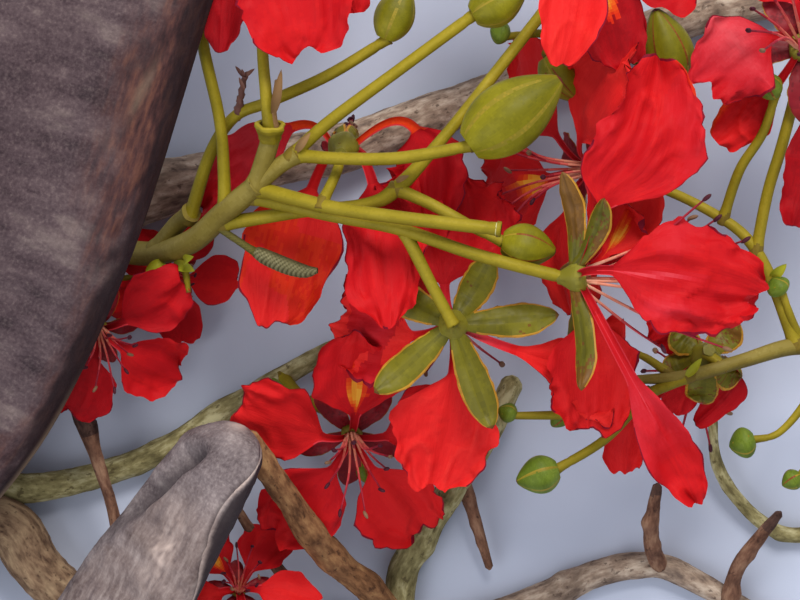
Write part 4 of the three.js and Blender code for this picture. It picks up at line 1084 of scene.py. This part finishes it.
def sepal(heap, palette, foot, tip, out, face, size, rust, seed):
    """A boat-shaped sepal of some thickness: olive outside, red inside, with a gold rim."""
    rows, columns = SEPAL_GRID
    u = np.linspace(0, 1, rows + 1)
    v = crowded(columns, 1.35)
    via = (foot + tip) / 2 + out * SEPAL_BEND * size
    centre, _, across, up = spine(foot, via, tip, face, u)
    opening = np.sin(math.pi * (0.13 + 0.37 * u / SEPAL_WIDEST))
    closing = np.clip((u - SEPAL_WIDEST) / (1 - SEPAL_WIDEST), 0, 1)
    half = np.where(u < SEPAL_WIDEST, opening, (1 - closing**1.9) ** 0.7)
    half = np.maximum(SEPAL_HALF * size * half, 0.03)[:, None]
    uu, vv = np.meshgrid(u, v, indexing="ij")
    place = np.stack([vv * half, uu * 30 * size, 0 * uu + 9 * seed], axis=-1)
    bend = 0.5 * size * np.sin(7 * uu + seed) * vv + 0.45 * noise(place, 4, seed)
    bend += 0.2 * noise(place, 1.5, seed + 1)
    rise = -SEPAL_CUP * half * vv**2 + bend * smooth(uu * 4) - 0.3 * np.exp(-(vv / 0.1) ** 2)
    thick = max(0.7, SEPAL_THICK * size) / 2 * np.sqrt(np.clip(1 - vv**2, 0, 1)) * (half > 0.1)
    teeth = 1 + 0.07 * np.abs(vv) ** 6 * noise(place, 1.6, seed + 2)
    middle = centre[:, None] + across[:, None] * (vv * half * teeth)[..., None]
    uc, vc, at = at_faces(uu, vv, place)
    mottle = 0.8 * noise(at, 7, seed + 3) + 0.3 * noise(at, 1.5, seed + 4)
    tone = 0.45 + 0.22 * mottle - 0.1 * (np.abs(vc) < 0.12)
    kinds = palette.pick("olive", tone)
    rusty = mottle + 2 * rust + 0.4 * uc + palette.chance.uniform(-0.3, 0.3, uc.shape) > 1.05
    palette.lay(kinds, rusty, "rust", tone)
    palette.lay(kinds, (np.abs(vc) > 0.86 - 0.04 * noise(at, 4, seed + 5)) & (uc > 0.1), "gold", tone)
    palette.lay(kinds, uc > 0.96, "rust")
    heap.sheet(middle + up[:, None] * (rise + thick)[..., None], kinds, place)
    inner = palette.pick("inner", 0.3 + 0.4 * uc + 0.2 * mottle)
    palette.lay(inner, np.abs(vc) > 0.93, "gold", 0.3)
    heap.sheet(middle + up[:, None] * (rise - thick)[..., None], inner, place)


def calyx(heap, palette, bloom):
    size = bloom.size
    rows = [(far * size, max(wide * size, 1.7 if far < 6.5 else 0.8)) for far, wide in CALYX]
    tones = np.linspace(0.3, 0.7, len(rows) - 1)[:, None] + np.zeros((1, CALYX_SIDES))
    lathe(heap, bloom.start, bloom.axis, rows, CALYX_SIDES, palette.pick("cup", tones),
          lambda far, angle: 0.05 * np.cos(5 * angle) + 0 * far)


def make_sepals():
    heap = Heap()
    palette = Palette("sepal", SEPAL_ROWS, rough=(0.45, 0.6), size=1.1, stretch=(1, 5, 1), gloss=0.25)
    for bloom in DRAWN + PLAIN:
        calyx(heap, palette, bloom)
        turned, rust, wide, long = SEPAL_TURNS.get(bloom.name, (0, 0.2, 1, 1))
        face = np.array([0, 0, turned]) - bloom.axis * (1 - 0.6 * turned)
        collar = middle_at(bloom, SEPAL_LEVEL)
        for k, tip in enumerate(bloom.sepals):
            collar = collar + bloom.axis * bloom.step
            root = seat(bloom, collar, tip)
            sepal(heap, palette, root, root + (tip - root) * long, bloom.axis, face,
                  wide * bloom.size, rust, bloom.seed + k)
    heap.make("sepals", palette.finishes, "petal")


# Stamens
STAMEN_ROWS = {
    "filament": ("e6a88c dc8a70 cc4a48 96182a 6e1022", 6),
    "anther": ("430e1e", 1),
    "husk": ("7c5a42", 1),
}
HIDDEN = (0.1, 0.6)               # spread and reach of the stamens that bloom_back hides
SIDE_TIPS = [(81, 27, 97), (92, 16, 90), (87, -13, 90), (70, -13, 90), (95, 8, 80), (78, 22, 88)]


def stamen(heap, palette, foot, knee, top, size, seed):
    thin = STAMEN_HALF * size**0.5
    line = [(*p, thin * wide) for p, wide in ((foot, 1.15), (knee, 1), (top, 0.7))]
    tube(heap, line, STAMEN_SIDES, STAMEN_STEP * size,
         lambda arc, left, _, lit: palette.pick("filament", arc / (arc + left)))
    tilt = unit(np.asarray(top) - knee + 6 * np.array([math.cos(seed), math.sin(seed), 0.4]))
    far = np.linspace(-0.5, 0.5, 7)
    wide = ANTHER_HALF * size**0.5 * np.sqrt(np.clip(1.02 - 4 * far**2, 0, 1))
    profile = np.column_stack([far * ANTHER_LONG * size**0.5, wide])
    lathe(heap, top, tilt, profile, 8, palette.pick("husk" if seed % 3 == 0 else "anther"),
          lambda _, angle: 0.2 * np.cos(2 * angle))


def make_stamens():
    heap = Heap()
    palette = Palette("stamen", STAMEN_ROWS, size=0.6, relief=0.15)
    for b, bloom in enumerate(DRAWN + PLAIN):
        size, axis, mouth = bloom.size, bloom.axis, middle_at(bloom, PETAL_LEVEL)
        side, other = sides_of(axis)
        spread, deep = HIDDEN if bloom.name == "bloom_back" else (1, 1)
        for k in range(STAMENS):
            angle = 2 * math.pi * (k + 0.3) / STAMENS
            away = side * math.cos(angle) + other * math.sin(angle)
            reach = STAMEN_LONG * deep * size * (0.84 + 0.16 * math.sin(5 * k + 1))
            foot = mouth - axis * 3 * size + away * size
            knee = mouth + axis * reach * 0.5 + away * 6 * size * spread
            top = mouth + axis * reach * 0.86 + away * reach * 0.4 * spread
            if bloom.name == "bloom_side" and k < len(SIDE_TIPS):
                top = np.array(SIDE_TIPS[k], float)
                knee = mouth + (top - mouth) * 0.55 + np.array([0, -2.0, -1.0])
            top[2], knee[2] = max(top[2], 2), max(knee[2], 2)
            stamen(heap, palette, foot, knee, top, size, 7 * b + k)
    heap.make("stamens", palette.finishes, "petal")


# Pods
POD_TONES = {
    "pod_1": ("2a1f23 433438 5b4b4d 7c6c68", "2a191b 462a28 603c31", "1a0f13", "86705c"),
    "pod_2": ("463a3c 685c5d 8a7d7c b0a39f", "4f3d39 7b6860 a3928a", "241b1f", "cbb5aa"),
}
SEED_STEP = 10.5                  # from one seed under the leather to the next
FOLD_AT = 0.17                    # share of pod_2's length at which its fold is at mid width
FOLD_SLANT = 3.9                  # how far across the fold runs in that length
FOLD_DEEP = 3.8


def share_of(made, name):
    return node(made.node_tree, "ShaderNodeAttribute", attribute_name=name).outputs["Fac"]


def pod_finish(name):
    """Old leathery pod: mottled greys, warmer zones, darker zones of painted shade, and a pale seam;
    on pod_2 the pale zone also holds a painted highlight.
    """
    greys, warms, dark, pale = POD_TONES[name]
    made = finish(f"{name}_leather", dark, (0.5, 0.72), 0.5, 0.9, (1, 1, 1.3), 0.16)
    tree = made.node_tree
    broad = ramp(tree, grained(tree, 10, 6, (2, 1, 0.8)), 0.34, 0.66, greys)
    fine = ramp(tree, grained(tree, 0.9, 8), 0.3, 0.7, greys)
    warm = ramp(tree, grained(tree, 2.2, 7, (0.8, 1, 3.2)), 0.34, 0.66, warms)
    tint = mixed(tree, 0.4, broad, fine)
    tint = mixed(tree, share_of(made, "warm"), tint, warm)
    tint = mixed(tree, share_of(made, "dark"), tint, colour(dark))
    return dyed(made, mixed(tree, share_of(made, "pale"), tint, colour(pale)))


def bump_at(x, middle, wide):
    return np.exp(-((x - middle) / wide) ** 2)


def long_pod_marks(w, s, front, ragged):
    """A short crease with warm leather and a pale line by it, and painted shade: dark in the crease,
    on the lower rim and on the face turned away.
    """
    crease = bump_at(s + 0.05 * (w - 0.41), 0.297, 0.004) * bump_at(w, 0.56, 0.2) * front
    warm = bump_at(s, 0.315, 0.05) * smooth((w - 0.15) / 0.3) * (0.9 + 0.6 * ragged)
    warm += 0.6 * smooth((w - 0.5 + 0.2 * ragged) / 0.15) * (0.8 + 0.6 * ragged)
    # Painted shade: the lower rim, the face turned away and the crease are darker
    dark = 0.85 * smooth((w - 0.76 + 0.1 * ragged) / 0.12) + 0.6 * (1 - front) + 0.5 * crease
    pale = 0.8 * bump_at(w, 1, 0.02) * smooth((s - 0.45) / 0.1)
    pale = pale + 0.5 * bump_at(w + 3 * (s - 0.3), 0.62, 0.04) * bump_at(s, 0.305, 0.011) * front
    return -1.5 * crease, warm, dark, pale


def short_pod_marks(w, turn, s, front, ragged, specks):
    """A fold that starts under the blunt end, runs down to the left and parts a smooth lobe,
    and a seam that starts at the edge and wanders onto the face. Painted shade darkens the fold's
    hollow, the groove by the seam and the side beyond the seam, which turns down, and a painted
    highlight lies on the blunt end."""
    from_fold = w + FOLD_SLANT * (s - FOLD_AT)
    hollow = bump_at(from_fold, 0, np.where(from_fold < 0, 0.3, 0.13))
    folded = smooth((s - 0.13) / 0.06) * smooth((0.42 - s) / 0.12) * front
    out = folded * (1.7 * bump_at(from_fold, 0.36, 0.2) - FOLD_DEEP * hollow)
    out += 1.2 * front * bump_at(s, 0.08, 0.07) * bump_at(w, -0.2, 0.6)
    past = turn + 0.2 - 0.6 * smooth((s - 0.05) / 0.18) + 0.38 * smooth((s - 0.24) / 0.16)
    out += 0.5 * bump_at(past, 0, 0.05) - 0.7 * bump_at(past, 0.12, 0.07)
    warm = 0.5 * smooth((from_fold - 0.1 + 0.3 * ragged) / 0.3) * smooth((s - 0.2) / 0.1) * front
    # Painted shade: dark in the fold's hollow, in the groove by the seam and over the side beyond it,
    # which turns down
    dark = 0.75 * folded * hollow + 0.6 * bump_at(past, 0.11, 0.06)
    dark = dark + smooth(-past / 0.15) * smooth((s - 0.02) / 0.05)
    seam = bump_at(past, 0, 0.035) * smooth((s - 0.03) / 0.03)
    speckled = (0.5 + 0.8 * ragged) * (0.7 + 0.9 * specks) * front
    pale = seam * (0.9 - 0.6 * smooth((s - 0.17) / 0.05))
    # Painted highlight: a pale spot on the front of the blunt end
    pale = pale + 0.7 * bump_at(s, 0.01, 0.04) * bump_at(w, 0.2, 0.4) * front
    pale = pale + 0.8 * bump_at(w, 0.35, 0.25) * bump_at(s, 0.35, 0.06) * speckled
    return out, warm, dark, pale


def pod_relief(name, w, turn, s, flat, seed):
    """How far a pod's face stands out of the plain section, and its three zones."""
    front = smooth(0.5 + 3 * np.sin(turn))
    folds = noise(flat / [1.6, 1, 1], 10, seed + 1)
    wrinkles = 1 - 2 * np.abs(noise(flat / [1.5, 1, 1], 3.4, seed + 2))
    seeds = np.cos(flat[..., 2] * 2 * math.pi / SEED_STEP + 2.2 * w + 1.5 * noise(flat, 30, seed))
    out = 0.45 * (1 - np.abs(w)) * seeds + 0.8 * folds + 0.25 * wrinkles
    out += 0.16 * noise(flat, 1.3, seed + 3)
    ragged = noise(flat / [1, 1, 2], 8, seed + 4) + 0.5 * noise(flat, 2.5, seed + 5)
    if name == "pod_1":
        marks, *zones = long_pod_marks(w, s, front, ragged)
    else:
        marks, *zones = short_pod_marks(w, turn, s, front, ragged, noise(flat, 0.9, seed + 6))
    warm, dark, pale = zones
    zones = [np.clip(zone, 0, 1) for zone in (warm, 0.95 * dark, pale)]
    return out + marks, dict(zip(("warm", "dark", "pale"), zones))


def pod_skin(name, line, roll, wide, blunt, seed):
    share = 0.5 - 0.5 * np.cos(math.pi * np.linspace(0, 1, POD_ROWS + 1))
    t = share * (len(line) - 1)
    centre = along(line, t)
    forward = unit(along(line, t + 0.02) - along(line, t - 0.02))
    across = unit(np.stack([-forward[:, 1], forward[:, 0], 0 * share], axis=1))
    up = np.cross(forward, across)
    up *= np.where(up[:, 2:] < 0, -1, 1)
    turned = np.radians(roll[0] + (roll[1] - roll[0]) * share)[:, None]
    wide_axis = across * np.cos(turned) + up * np.sin(turned)
    face_axis = unit(np.cross(forward, wide_axis))
    face_axis *= np.sign(face_axis[:, 2].mean())
    arc = np.concatenate([[0], np.cumsum(np.linalg.norm(np.diff(centre, axis=0), axis=1))])
    full = np.minimum(1, np.minimum((share + 0.05 * blunt) / blunt, (1.012 - share) / POD_TAPER))
    half = wide / 2 * np.sin(math.pi / 2 * full) ** 0.8
    deep = POD_THICK / 2 * np.sin(math.pi / 2 * np.minimum(1, full * 1.8)) ** 0.7
    soft = 0.3 + 0 * share
    if name == "pod_2":
        # Its blunt end is round and swollen, like a thumb
        nose = np.sqrt(1 - 0.99 * (1 - np.clip(arc / POD_NOSE, 0, 1)) ** 2)
        half = np.where(share < 0.6, wide / 2 * nose * (0.74 + 0.26 * smooth(arc / 80)), half)
        deep = np.where(share < 0.6, POD_THICK / 2 * nose * (1.3 - 0.3 * smooth(arc / 60)), deep)
        soft = 0.9 - 0.5 * smooth(arc / 80)
    corners = len(POD_SECTION)
    closed = np.array(POD_SECTION * 3, float)
    section = along(closed, corners + np.arange(corners * POD_SPAN) / POD_SPAN)
    turn = 2 * math.pi * np.arange(corners * POD_SPAN) / (corners * POD_SPAN)
    round_it = np.stack([np.cos(turn), np.sin(turn)], axis=1)
    shape = section + (round_it - section) * soft[:, None, None]
    w, d = shape[..., 0], shape[..., 1]
    turn = np.where(turn > math.pi, turn - 2 * math.pi, turn)
    flat = np.stack([w * half[:, None], d * deep[:, None], arc[:, None] + 0 * w], axis=-1)
    out, zones = pod_relief(name, w, turn, share[:, None], flat, seed)
    eased = smooth(full * 3)[:, None]
    out = out * eased * np.sign(np.sin(turn)) * smooth((1.03 - np.abs(w)) / 0.06)
    seam = (0.3 * bump_at(np.abs(w), 1, 0.02) - 0.2 * bump_at(np.abs(w), 0.965, 0.018)) * eased
    points = centre[:, None] + wide_axis[:, None] * (w * (half[:, None] + seam))[..., None]
    points += face_axis[:, None] * (d * deep[:, None] + out)[..., None]
    heap = Heap()
    heap.sheet(points, 0, flat, around=True)
    heap.cap(points[0], 0, flip=True)
    heap.cap(points[-1], 0)
    skin = heap.make(f"{name}_skin", [pod_finish(name)], "pod", name)
    for key, zone in zones.items():
        values = np.zeros(len(skin.data.vertices))
        values[:points[..., 0].size] = np.broadcast_to(zone, points.shape[:2]).ravel()
        skin.data.attributes.new(key, "FLOAT", "POINT").data.foreach_set("value", values)


# Furled leaf
LEAF_ROWS = {
    "leaflet": ("342f1a 4c462a 676040 888160", 7),
    "stalk": ("443e16 605822", 3),
}
LEAF_SIDES, LEAF_STEP = 24, 0.22
LEAF_FURL = 13                    # where the leaf's folded blade begins on its stalk
LEAF_RIDGE = 1.25                 # from one folded leaflet to the next
LEAF_TURN = 0.6                   # turn of its upper side


def make_leaf():
    heap = Heap()
    palette = Palette("leaf", LEAF_ROWS, rough=(0.6, 0.8), relief=0.3, size=0.8)

    def ridge(arc, angle):
        """Folded leaflets, laid slanting on the upper side of the leaf's own stalk."""
        height = np.sin(angle + LEAF_TURN)
        step = ((arc + 1.9 * height) / LEAF_RIDGE) % 1
        return np.sin(math.pi * step) ** 0.6, smooth(0.55 + height)

    def swell(arc, left, angle):
        crest, upper = ridge(arc, angle)
        furled = smooth((arc - LEAF_FURL) / 3) * smooth(left / 2)
        return furled * upper * (0.3 * crest - 0.1)

    def kind_of(arc, left, points, lit):
        angle = 2 * math.pi * np.arange(arc.shape[1]) / arc.shape[1]
        crest, upper = ridge(arc, angle)
        # Painted light: the crests of the folded leaflets are lighter and the gaps between them
        # darker as painted shade, and the side that faces LIT is lighter
        tone = 0.2 + upper * (0.75 * crest - 0.25) + 0.15 * lit + 0.08 * noise(points, 2, 1)
        return np.where(arc < LEAF_FURL, palette.pick("stalk", tone), palette.pick("leaflet", tone))

    tube(heap, FURLED_LEAF, LEAF_SIDES, LEAF_STEP, kind_of, swell)
    heap.make("furled_leaf_fine", palette.finishes, "leaf", "furled_leaf")


# Stage, in metres. The camera hangs over the middle of the photo and looks straight down
FLOOR_SIZE = 6
FLOOR_UNDER = 0.0004              # how far the floor lies under the branch
FLOOR_TINT = (0.46, 0.5, 0.62, 1)
SKY_TINT = (0.88, 0.92, 1, 1)
SKY_STRENGTH = 0.6
LAMPS = [                         # name, place, size, power and tint
    ("key", (0.3, 1.0, 1.2), 0.6, 21, (1, 0.97, 0.92)),
    ("fill", (-1.0, -0.7, 1.2), 1.4, 14, (0.95, 0.97, 1)),
]
CAMERA_HIGH = 1.075
LENS, SENSOR = 166.67, 36


def make_stage():
    bpy.ops.mesh.primitive_plane_add(size=FLOOR_SIZE)
    floor = bpy.context.object
    floor.name = "floor"
    floor.location.z = -FLOOR_UNDER
    paint = bpy.data.materials.new("floor")
    paint.use_nodes = True
    shader = paint.node_tree.nodes["Principled BSDF"]
    shader.inputs["Base Color"].default_value = FLOOR_TINT
    shader.inputs["Roughness"].default_value = 0.9
    floor.data.materials.append(paint)


def make_lamp(name, place, size, power, tint):
    """A square lamp that looks at the origin."""
    data = bpy.data.lights.new(name, "AREA")
    data.size, data.energy, data.color = size, power, tint
    lamp = bpy.data.objects.new(name, data)
    lamp.location = place
    bpy.context.scene.collection.objects.link(lamp)
    back = unit(np.array(place))
    lamp.rotation_euler = (math.acos(back[2]), 0, math.atan2(back[0], -back[1]))


def make_light_and_camera():
    for shape in LAMPS:
        make_lamp(*shape)
    world = bpy.data.worlds.new("studio")
    world.use_nodes = True
    background = world.node_tree.nodes["Background"]
    background.inputs["Color"].default_value = SKY_TINT
    background.inputs["Strength"].default_value = SKY_STRENGTH
    scene = bpy.context.scene
    scene.world = world
    scene.view_settings.view_transform = "Standard"
    data = bpy.data.cameras.new("camera")
    data.lens, data.sensor_width = LENS, SENSOR
    camera = bpy.data.objects.new("camera", data)
    camera.location = (-MIDDLE[0] / 1000, -MIDDLE[1] / 1000, CAMERA_HIGH)
    scene.collection.objects.link(camera)
    scene.camera = camera


make_stage()
make_light_and_camera()
make_bark()
make_stems()
make_buds()
make_petals()
make_sepals()
make_stamens()
for seed, (name, shape) in enumerate(PODS.items()):
    pod_skin(name, *shape, 40 + 10 * seed)
make_leaf()

bpy.context.view_layer.update()
